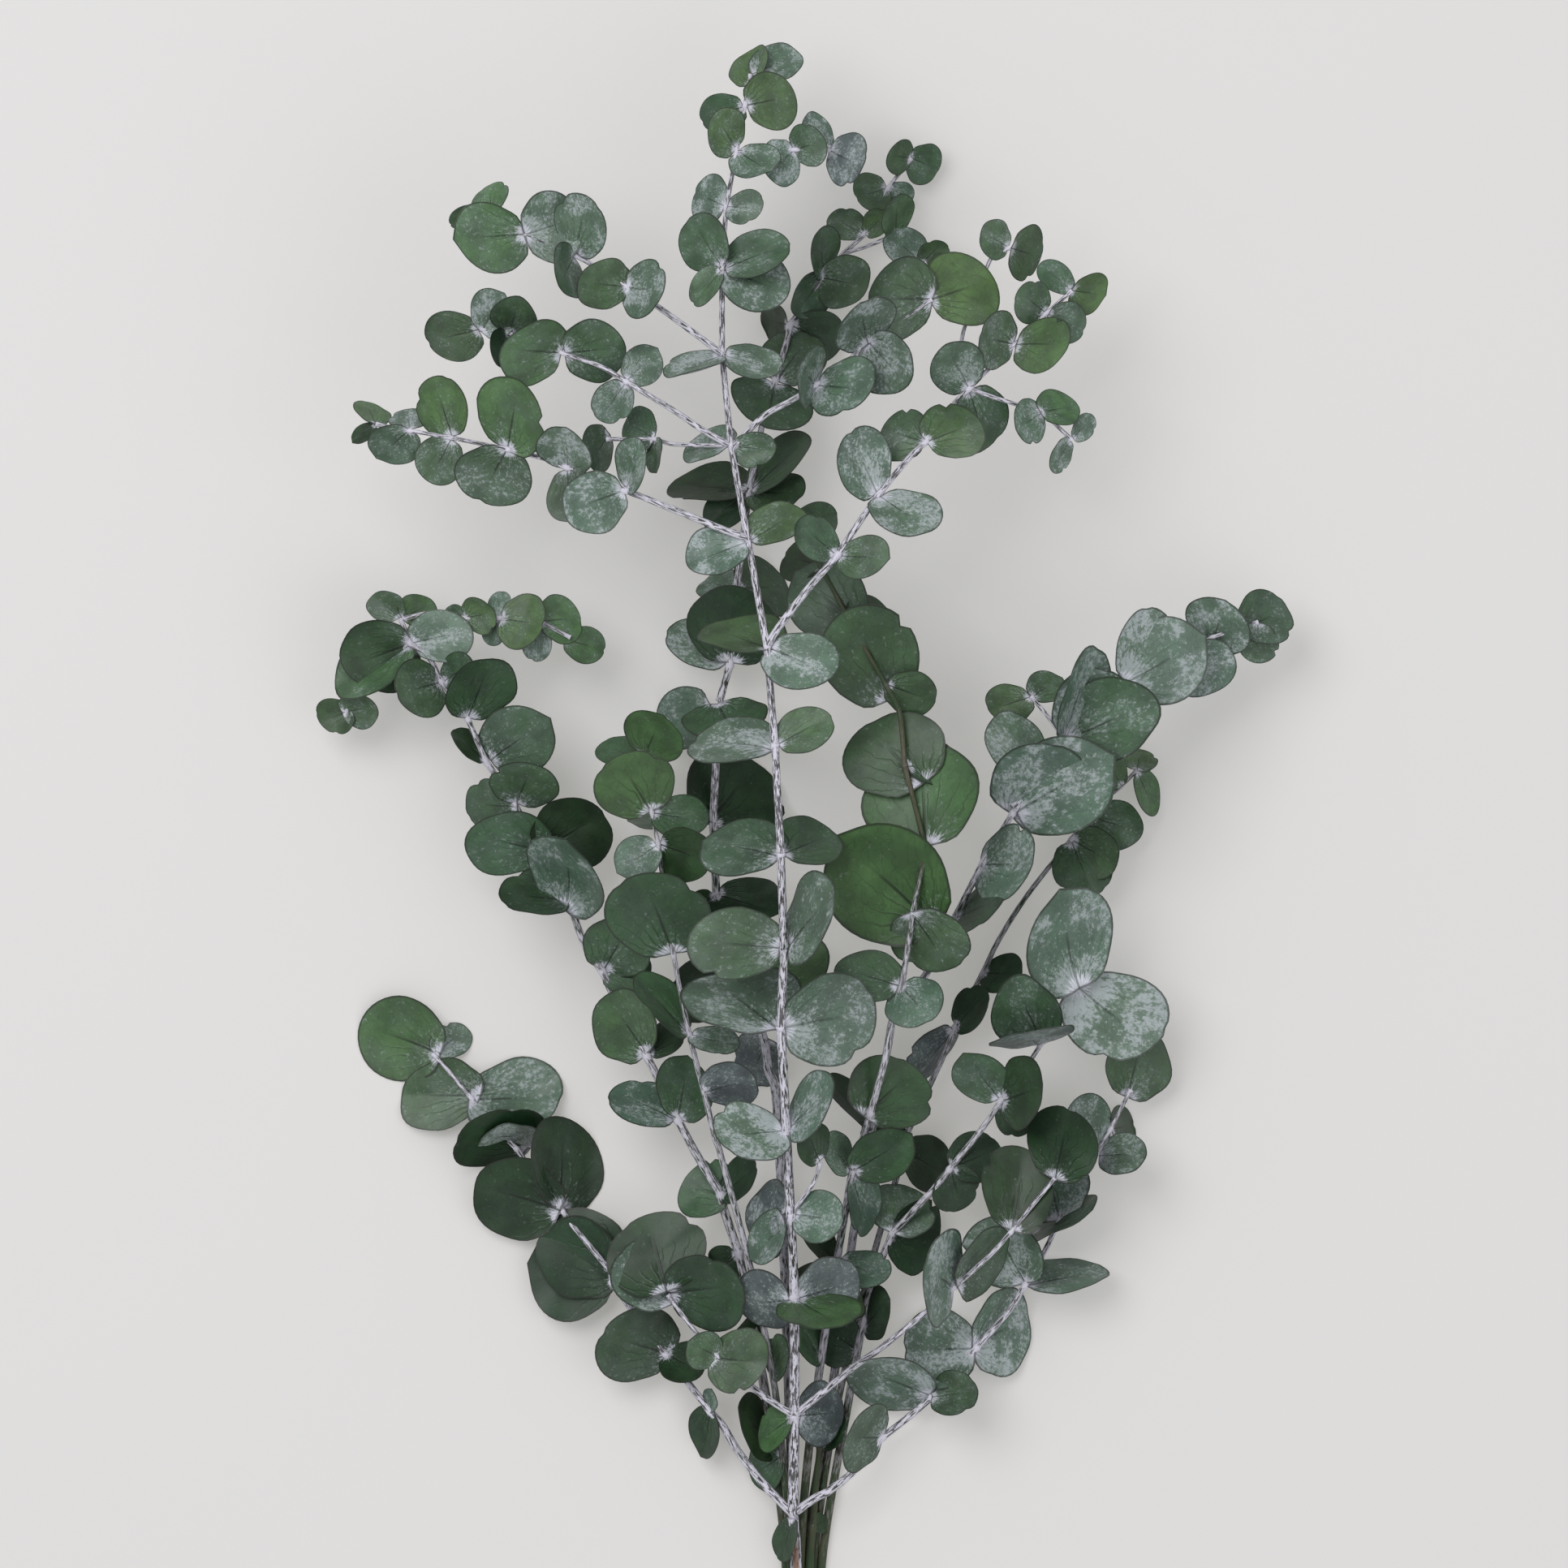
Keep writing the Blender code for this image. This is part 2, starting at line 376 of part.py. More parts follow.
class Leaf:
    """One leaf as a tilted round: its foot, its middle, two half axes and its upper side."""

    def __init__(self, stem, shoot, row, foot, toward, box, order, arched):
        left, top, right, bottom, kind = box
        self.stem = stem
        self.shoot = shoot
        self.row = row
        self.kind = kind
        self.order = order
        self.foot = foot
        low = place(left, bottom, 0)
        high = place(right, top, 0)
        half = (high - low)[:2] / 2
        centre = ((high + low) / 2)[:2]
        reach = centre - foot[:2]
        limit = half * 0.98
        reach = np.clip(reach, -limit, limit)
        # A leaf whose foot is drawn inside its box clasps the stem, and its rim lies behind it
        share = np.linalg.norm(reach / half)
        clasp = 0.0
        if share < CLASPS:
            clasp = CLASPS / max(share, 0.05) - 1.0
            reach = reach * (1.0 + clasp)
        # The ellipse that fills the box and has the foot on its rim
        root = math.sqrt(max((half[0] ** 2 - reach[0] ** 2) * (half[1] ** 2 - reach[1] ** 2), 0))
        slant = min((reach[0] * reach[1] + root, reach[0] * reach[1] - root), key=abs)
        most = 0.8 * half[0] * half[1]
        slant = max(-most, min(most, slant))
        spread, turn = np.linalg.eigh(np.array([[half[0] ** 2, slant], [slant, half[1] ** 2]]))
        minor, major = np.sqrt(spread)
        across, along = turn[:, 0], turn[:, 1]
        if across @ toward[:2] < 0:
            across = -across
        narrow = SLENDER_LEAF if minor < SLENDER_LEAF * major else 1.0
        steep = max(minor / (major * narrow), 0.3)
        rise = math.sqrt(1 - steep ** 2)
        seen = -1.0 if kind == "p" else 1.0
        self.long = np.array([along[0], along[1], 0.0]) * major
        self.wide = np.array([across[0] * steep, across[1] * steep, -seen * rise]) * major * narrow
        self.up = np.array([across[0] * rise, across[1] * rise, seen * steep])
        # The rib runs from the foot through the middle of the round
        rib = np.array([reach @ along / major, reach @ across / (major * narrow * steep)])
        self.rib = rib / max(np.linalg.norm(rib), 1e-9)
        self.middle = self.foot + self.rib[0] * self.long + self.rib[1] * self.wide
        back = reach * clasp / (1.0 + clasp)
        self.middle -= np.array([back[0], back[1], 0.0])
        self.size = major
        reach = self.middle - self.foot
        flat = np.array([reach[0], reach[1], 0.0])
        flat /= max(np.linalg.norm(flat), 1e-9)
        self.hinge = np.array([flat[1], -flat[0], 0.0])
        self.arched = arched
        self.turned = np.zeros(2)
        self.limit = np.array([0.9, 0.7])
        self.dish = 0.10 + 0.07 * math.sin(order * 2.4)
        self.curve = 0.07 * math.sin(order * 1.7 + 1.0)
        along_stem = toward[:2] / np.linalg.norm(toward[:2])
        slope = math.atan(toward[2] / np.linalg.norm(toward[:2]))
        self.turn(self.hinge, slope * (flat[:2] @ along_stem))
        lean = ARCH_TILT if arched else SHINGLE_TILT
        if arched or steep > NEARLY_FLAT:
            self.turn(np.array([along_stem[1], -along_stem[0], 0.0]), lean)

    def turn(self, axis, angle):
        """Turn the leaf about a line through its foot."""
        c = math.cos(angle)
        s = math.sin(angle)

        def turned(v):
            return v * c + np.cross(axis, v) * s + axis * (axis @ v) * (1 - c)

        self.middle = self.foot + turned(self.middle - self.foot)
        self.long = turned(self.long)
        self.wide = turned(self.wide)
        self.up = turned(self.up)

    def height(self, along, aside):
        """How far the blade stands over its own plane: dished across, curved along."""
        return self.size * (self.dish * aside * aside + self.curve * (along + 1) ** 2 / 4)

    def covers(self, path):
        """The share of the leaf's length that the stem ahead of it would cross."""
        m, n = self.rib
        flat = np.linalg.inv(np.array([self.long[:2], self.wide[:2]]).T)
        inside = 0.0
        for a, b in zip(path[:-1], path[1:]):
            for k in range(8):
                spot = flat @ (a + (b - a) * (k + 0.5) / 8 - self.middle)[:2]
                if spot @ spot < 0.9:
                    inside += np.linalg.norm(b - a) / 8
        return inside / (2 * self.size)

    def bulge(self, local):
        """The blade's height over its plane at points given along its two half axes."""
        m, n = self.rib
        return self.height(local[:, 0] * m + local[:, 1] * n, local[:, 1] * m - local[:, 0] * n)

    def cloud(self, pattern):
        """The pattern's points on the blade."""
        flat = self.middle + pattern[:, :1] * self.long + pattern[:, 1:] * self.wide
        return flat + self.bulge(pattern)[:, None] * self.up

    def rest(self):
        self.asked = np.zeros(2)

    def spine(self):
        """The direction from the foot to the middle."""
        run = self.middle - self.foot
        return run / math.sqrt(run @ run)

    def nudge(self, spot, rise):
        """Ask for the swing and the roll that raise a point of the leaf."""
        arm = spot - self.foot
        axis = self.spine()
        swing = self.hinge[0] * arm[1] - self.hinge[1] * arm[0]
        roll = axis[0] * arm[1] - axis[1] * arm[0]
        share = rise / (swing * swing + roll * roll + SOFT_ARM ** 2)
        self.asked += (swing * share, roll * share)

    def settle(self):
        """Make half of the turn that was asked for, within the leaf's limits."""
        step = np.clip(0.5 * self.asked, -0.06, 0.06)
        step = np.clip(self.turned + step, -self.limit, self.limit) - self.turned
        self.turned = self.turned + step
        self.turn(self.hinge, step[0])
        self.turn(self.spine(), step[1])

    def at(self, along, aside, high=0.0):
        """A point of the leaf: along the rib from -1 to 1, aside from -1 to 1."""
        m, n = self.rib
        return (self.middle + self.long * (along * m - aside * n)
                + self.wide * (along * n + aside * m) + self.up * high)


def shoot_radius(foot_radius, tip_radius, share):
    return max((foot_radius * (1 - share) + tip_radius * share) * 0.001, THINNEST_SHOOT)


def shoot_points(rows):
    return [place(*row[:3]) for row in rows]


def read_leaves():
    """Every leaf of the bunch, in the layout's order."""
    leaves = []
    for stem, shoots in STEMS.items():
        for number, (foot_radius, tip_radius, rows) in enumerate(shoots):
            points = shoot_points(rows)
            for i, row in enumerate(rows):
                before = points[max(i - 1, 0)]
                after = points[min(i + 1, len(rows) - 1)]
                toward = after - before
                share = i / (len(rows) - 1)
                radius = shoot_radius(foot_radius, tip_radius, share)
                own = []
                for box in row[3:]:
                    middle = place((box[0] + box[2]) / 2, (box[1] + box[3]) / 2, row[2])
                    out = middle - points[i]
                    foot = points[i] + out / np.linalg.norm(out) * radius * SIDE_ATTACHMENT
                    leaf = Leaf(stem, (stem, number), i, foot, toward, box, 0, False)
                    own.append((leaf.covers(points[i:i + 3]), box, foot))
                most = max(own)[0] if own else 0.0
                for share, box, foot in own:
                    arched = share == most and share > COVERS_STEM and (stem, number) != BARE_SHOOT
                    if arched:
                        foot = (foot + points[i]) / 2 + np.array([0.0, 0.0, radius * TOP_ATTACHMENT])
                    leaves.append(Leaf(stem, (stem, number), i, foot, toward, box, len(leaves), arched))
    return leaves


def ring(radius, count):
    """Points round a ring, as (along, aside)."""
    turns = [2 * math.pi * k / count for k in range(count)]
    return [(radius * math.cos(t), radius * math.sin(t)) for t in turns]


PROBES = [(0.0, 0.0)] + ring(0.55, 6) + ring(1.0, 16)


def bend_clear(leaves, rounds=100):
    """Swing and roll leaves about their feet until they are clear of each other."""
    pattern = np.array(PROBES)
    stations = []
    for stem, shoots in STEMS.items():
        for foot_radius, tip_radius, rows in shoots:
            points = shoot_points(rows)
            done = []
            for a, b in zip(points[:-1], points[1:]):
                count = max(2, int(np.linalg.norm(b - a) / 0.004))
                for k in range(count):
                    share = (len(done) + k / count) / (len(points) - 1)
                    radius = shoot_radius(foot_radius, tip_radius, share)
                    stations.append((a + (b - a) * k / count, radius))
                done.append(b)
    rails = np.array([spot for spot, radius in stations])
    girth = np.array([radius for spot, radius in stations])
    beside = []
    for leaf in leaves:
        apart = np.linalg.norm(rails - leaf.foot, axis=1)
        beside.append(np.nonzero((apart > ROOT_REACH) & (apart < 2.3 * leaf.size + 0.004))[0])
    pairs = []
    for i, leaf in enumerate(leaves):
        near = []
        for j, other in enumerate(leaves):
            apart = np.linalg.norm(other.foot - leaf.foot)
            sibling = other.stem == leaf.stem and apart < SIBLING_FEET
            if j != i and not sibling and apart < 2 * (leaf.size + other.size) + 0.004:
                # Within a shoot the leaf nearer the foot lies over the other
                if other.shoot == leaf.shoot:
                    over = 1.0 if other.row < leaf.row else -1.0
                else:
                    over = 1.0 if other.middle[2] > leaf.middle[2] else -1.0
                near.append((j, over, LEAF_CLEARANCE if other.stem != leaf.stem else OWN_CLEARANCE))
        pairs.append(near)
    for turn in range(rounds):
        clouds = [leaf.cloud(pattern) for leaf in leaves]
        for leaf in leaves:
            leaf.rest()
        worst = 0.0
        for i, leaf in enumerate(leaves):
            frame = np.array([leaf.long / (leaf.long @ leaf.long),
                              leaf.wide / (leaf.wide @ leaf.wide), leaf.up])
            level = 1.0 if leaf.up[2] >= 0 else -1.0
            for j, over, clearance in pairs[i]:
                other = leaves[j]
                apart = other.middle - leaf.middle
                if apart @ apart > (leaf.size + other.size + 0.004) ** 2:
                    continue
                local = (clouds[j] - leaf.middle) @ frame.T
                inside = np.nonzero((local[:, 0] ** 2 + local[:, 1] ** 2) < 1.15)[0]
                if not len(inside):
                    continue
                high = (local[inside, 2] - leaf.bulge(local[inside])) * level * over
                least = high.argmin()
                want = clearance - high[least]
                if want <= 0 or want > 0.03:
                    continue
                if other.stem != leaf.stem:
                    worst = max(worst, want)
                spot = clouds[j][inside[least]]
                leaf.nudge(spot, -over * want / 2)
                other.nudge(spot, over * want / 2)
            around = beside[i]
            local = (rails[around] - leaf.middle) @ frame.T
            gap = (local[:, 2] - leaf.bulge(local)) * level
            want = girth[around] + STEM_CLEARANCE - np.abs(gap)
            want[(local[:, 0] ** 2 + local[:, 1] ** 2) > 1.15] = 0.0
            if len(around) and want.max() > 0:
                k = want.argmax()
                leaf.nudge(rails[around[k]], -want[k] if gap[k] > 0 else want[k])
                worst = max(worst, want[k])
            lowest = clouds[i][:, 2].argmin()
            sunk = clouds[i][lowest, 2]
            if sunk < -0.002:
                leaf.nudge(clouds[i][lowest], -0.002 - sunk)
        for leaf in leaves:
            leaf.settle()
        if worst < 0.0003:
            break
    return leaves


# The leaf's outline, as angles from its foot
RIM = [0.45, 1.20, 2.10, math.pi, -2.10, -1.20, -0.45]
SMALL_RIM = [0.60, 1.70, math.pi, -1.70, -0.60]


def rim_point(t):
    """The heart-footed round outline at angle t, as (along, aside)."""
    lobe = 0.05 * math.exp(-((abs(t) - 0.5) / 0.3) ** 2)
    return -math.cos(t) - lobe + 0.02, math.sin(t) * (1.0 - 0.04 * math.cos(t))


def pressed(lower, upper):
    """A pair of facing points, moved onto the surface where the leaf lies on it."""
    sunk = min(lower[2], upper[2])
    if sunk < LIES_FLAT:
        lower = lower + np.array([0, 0, -sunk])
        upper = upper + np.array([0, 0, -sunk])
    return lower, upper


def leaf_mesh(leaf):
    """A thin closed plate with the leaf's outline, and a pointed foot inside the stem."""
    mesh = bmesh.new()
    lows = []
    highs = []
    rim = SMALL_RIM if leaf.size < SMALL_LEAF else RIM
    for along, aside in [rim_point(t) for t in rim]:
        high = leaf.height(along, aside)
        lower = leaf.at(along, aside, high - LEAF_THICKNESS / 2)
        upper = leaf.at(along, aside, high + LEAF_THICKNESS / 2)
        lower, upper = pressed(lower, upper)
        lows.append(mesh.verts.new(lower))
        highs.append(mesh.verts.new(upper))
    foot = mesh.verts.new(leaf.at(-1.0 - ROOT_DEPTH / leaf.size, 0.0))
    last = len(rim) - 1
    for side in (highs, lows):
        mesh.faces.new((side[0], side[last], foot))
        for k in range(last // 2):
            a, b, c, d = side[k], side[k + 1], side[last - k - 1], side[last - k]
            mesh.faces.new((a, b, d))
            if b is not c:
                mesh.faces.new((b, c, d))
    for k in range(last):
        mesh.faces.new((highs[k], lows[k], lows[k + 1]))
        mesh.faces.new((highs[k], lows[k + 1], highs[k + 1]))
    mesh.faces.new((lows[0], highs[0], foot))
    mesh.faces.new((highs[last], lows[last], foot))
    bmesh.ops.recalc_face_normals(mesh, faces=mesh.faces)
    return mesh


def needed_rows(rows):
    """The rows without those that bear no leaf and lie on the line between their neighbours."""
    kept = [rows[0]]
    for i in range(1, len(rows) - 1):
        a, b, c = place(*kept[-1][:3]), place(*rows[i][:3]), place(*rows[i + 1][:3])
        run = (c - a) / np.linalg.norm(c - a)
        off = (b - a) - run * ((b - a) @ run)
        if len(rows[i]) > 3 or np.linalg.norm(off) > STRAIGHT_ENOUGH:
            kept.append(rows[i])
    return kept + [rows[-1]]


def stem_mesh(foot_radius, tip_radius, rows, twist):
    """A tapering closed tube through the rows' points."""
    rows = needed_rows(rows)
    points = [Vector(p) for p in shoot_points(rows)]
    sides = SHOOT_SIDES if foot_radius <= SLIM_SHOOT else STEM_SIDES
    mesh = bmesh.new()
    rings = []
    side = Vector((0.3, 0.1, 1.0))
    for i, point in enumerate(points):
        before = points[max(i - 1, 0)]
        after = points[min(i + 1, len(points) - 1)]
        run = (after - before).normalized()
        side = (side - run * side.dot(run)).normalized()
        cross = run.cross(side)
        share = i / (len(points) - 1)
        radius = shoot_radius(foot_radius, tip_radius, share)
        if i == len(points) - 1:
            point = point + run * 0.002
        ring = []
        for k in range(sides):
            t = twist + 2 * math.pi * k / sides
            ring.append(mesh.verts.new(point + (side * math.cos(t) + cross * math.sin(t)) * radius))
        rings.append(ring)
    for a, b in zip(rings[:-1], rings[1:]):
        for k in range(sides):
            n = (k + 1) % sides
            mesh.faces.new((a[k], a[n], b[n], b[k]))
    mesh.faces.new(rings[0])
    mesh.faces.new(rings[-1])
    bmesh.ops.recalc_face_normals(mesh, faces=mesh.faces)
    return mesh


def make_object(name, mesh, collection):
    data = bpy.data.meshes.new(name)
    mesh.to_mesh(data)
    mesh.free()
    made = bpy.data.objects.new(name, data)
    collection.objects.link(made)
    return made


def material(name, colour, roughness):
    made = bpy.data.materials.new(name)
    made.use_nodes = True
    shader = made.node_tree.nodes["Principled BSDF"]
    shader.inputs["Base Color"].default_value = (*colour, 1.0)
    shader.inputs["Roughness"].default_value = roughness
    shader.inputs["Metallic"].default_value = 0.0
    return made


LEAF_COLOURS = {
    "front_stem": (0.075, 0.125, 0.085),
    "back_stem": (0.040, 0.080, 0.048),
    "left_arching_stem": (0.060, 0.110, 0.075),
    "left_inner_stem": (0.050, 0.100, 0.055),
    "right_centre_stem": (0.055, 0.115, 0.065),
    "right_arching_stem": (0.105, 0.155, 0.130),
    "right_slim_stem": (0.050, 0.105, 0.060),
    "right_outer_stem": (0.070, 0.120, 0.090),
    "short_green_stem": (0.040, 0.075, 0.040),
}


def make_stem(name, shoots, leaves):
    """One cut stem with its side shoots and leaves, joined into one solid."""
    repeats = bpy.data.collections.new(name + "_repeats")
    bpy.context.scene.collection.children.link(repeats)
    trunk = None
    for i, (foot_radius, tip_radius, rows) in enumerate(shoots):
        mesh = stem_mesh(foot_radius, tip_radius, rows, 0.13 + 0.37 * i)
        if trunk is None:
            trunk = make_object(name, mesh, bpy.context.scene.collection)
        else:
            make_object(f"{name}_shoot_{i}", mesh, repeats)
    for leaf in leaves:
        if leaf.stem == name:
            make_object(f"{name}_leaf_{leaf.order}", leaf_mesh(leaf), repeats)
    union = trunk.modifiers.new("union", "BOOLEAN")
    union.operation = "UNION"
    union.operand_type = "COLLECTION"
    union.collection = repeats
    union.solver = "MANIFOLD"
    bpy.context.view_layer.update()
    joined = bpy.data.meshes.new_from_object(trunk.evaluated_get(bpy.context.evaluated_depsgraph_get()))
    trunk.modifiers.clear()
    trunk.data = joined
    joined.name = name
    for piece in list(repeats.objects):
        bpy.data.objects.remove(piece)
    bpy.data.collections.remove(repeats)
    joined.materials.clear()
    joined.materials.append(material(name, LEAF_COLOURS[name], 0.6))
    return trunk


def main():
    for old in list(bpy.data.objects):
        bpy.data.objects.remove(old)
    leaves = bend_clear(read_leaves())
    for name, shoots in STEMS.items():
        made = make_stem(name, shoots, leaves)
        print(name, len(made.data.polygons), "faces")


main()
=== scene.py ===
"""The looks of a bunch of cut, round-leaved eucalyptus stems, lying on a flat surface.

The layout and the way in which the leaves are bent clear of each other are those of the
part itself, so that each fine leaf and stem stands where its solid does.
"""
import json
import math
import random

import bpy
import numpy as np
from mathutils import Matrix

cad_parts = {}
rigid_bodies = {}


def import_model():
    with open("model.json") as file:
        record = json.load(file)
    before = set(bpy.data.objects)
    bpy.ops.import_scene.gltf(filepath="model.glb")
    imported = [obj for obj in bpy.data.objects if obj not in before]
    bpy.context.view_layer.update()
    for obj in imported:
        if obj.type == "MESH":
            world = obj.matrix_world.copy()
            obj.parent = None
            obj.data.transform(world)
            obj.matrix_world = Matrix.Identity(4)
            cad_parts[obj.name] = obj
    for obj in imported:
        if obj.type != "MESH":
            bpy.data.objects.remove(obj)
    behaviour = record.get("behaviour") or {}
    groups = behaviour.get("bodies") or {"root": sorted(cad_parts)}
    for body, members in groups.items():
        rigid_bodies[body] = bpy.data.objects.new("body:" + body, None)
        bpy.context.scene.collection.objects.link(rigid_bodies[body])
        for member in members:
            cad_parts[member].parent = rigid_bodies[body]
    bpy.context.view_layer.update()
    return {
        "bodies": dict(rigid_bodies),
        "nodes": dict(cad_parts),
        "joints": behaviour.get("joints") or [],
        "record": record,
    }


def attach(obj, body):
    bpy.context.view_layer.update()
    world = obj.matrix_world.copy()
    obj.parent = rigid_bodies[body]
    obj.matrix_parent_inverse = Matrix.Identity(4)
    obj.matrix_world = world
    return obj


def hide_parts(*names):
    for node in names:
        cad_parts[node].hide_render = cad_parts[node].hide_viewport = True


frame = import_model()

# Driving dimensions
PICTURE_UNIT = 0.000373        # one unit of the layout below, so the bunch is 0.75 m long
LAYER = 0.001                  # one unit of height in the layout
MIDDLE_ACROSS = 992.67         # the layout point that stands at X = 0
MIDDLE_ALONG = 1064.79         # the layout point that stands at Y = 0
THINNEST_SHOOT = 0.00095       # least radius of a shoot

# How leaves sit on their stems
BARE_SHOOT = ("front_stem", 0)  # the shoot that shows in front of all its leaves
SIDE_ATTACHMENT = 0.8          # where a leaf's foot sits, as a share of its stem's radius
TOP_ATTACHMENT = 0.85          # the same for a leaf that arches over its stem
COVERS_STEM = 0.22             # share of a leaf over its stem that makes it arch over it
COVER_SAMPLES = 8              # points that are tried along each piece of a stem
CLASPS = 0.90                  # how near its rim a leaf's foot is, at the least
FOOT_LIMIT = 0.98              # how near the edge of its leaf's box a foot may lie
MOST_SLANT = 0.8               # how far the oval in a box may lean towards its diagonal
STEEPEST = 0.3                 # the narrowest that a leaf may look, width to length
SLENDER_LEAF = 0.78            # width to length of a leaf that is seen from its edge
SHINGLE_TILT = 0.2             # how far leaves lean, so that each lies over the one behind
ARCH_TILT = 0.22               # how steeply an arched leaf rises from its stem
NEARLY_FLAT = 0.85             # leaves seen steeper than this don't lean

# How leaves are bent clear of each other
LEAF_CLEARANCE = 0.0022        # least gap between leaves of two stems, centre to centre
OWN_CLEARANCE = 0.0013         # the same between leaves of one stem, where they are free to
STEM_CLEARANCE = 0.0012        # least gap between a leaf and a stem that it passes
SOFT_ARM = 0.003               # keeps a point near the foot from turning its leaf too far
ROOT_REACH = 0.006             # nearer its foot than this, a leaf may touch its stem
SIBLING_FEET = 0.005           # leaves of one pair have their feet nearer than this
MOST_TURN = (0.9, 0.7)         # how far a leaf may swing and roll from its place, in radians
TURN_STEP = 0.06               # how far it may in one round
ROUNDS = 100                   # rounds of bending leaves clear, at the most
SETTLED = 0.0003               # a crossing less deep than this needs no more rounds
NEAR_RIM = 1.15                # how far out, squared, a point still counts as over a leaf
DEEPEST_CROSSING = 0.03        # leaves further through each other than this are left so
FLOOR_SINK = 0.002             # how deep a leaf may dip before it is raised
SEARCH_MARGIN = 0.004          # added to leaf sizes when neighbours are looked for

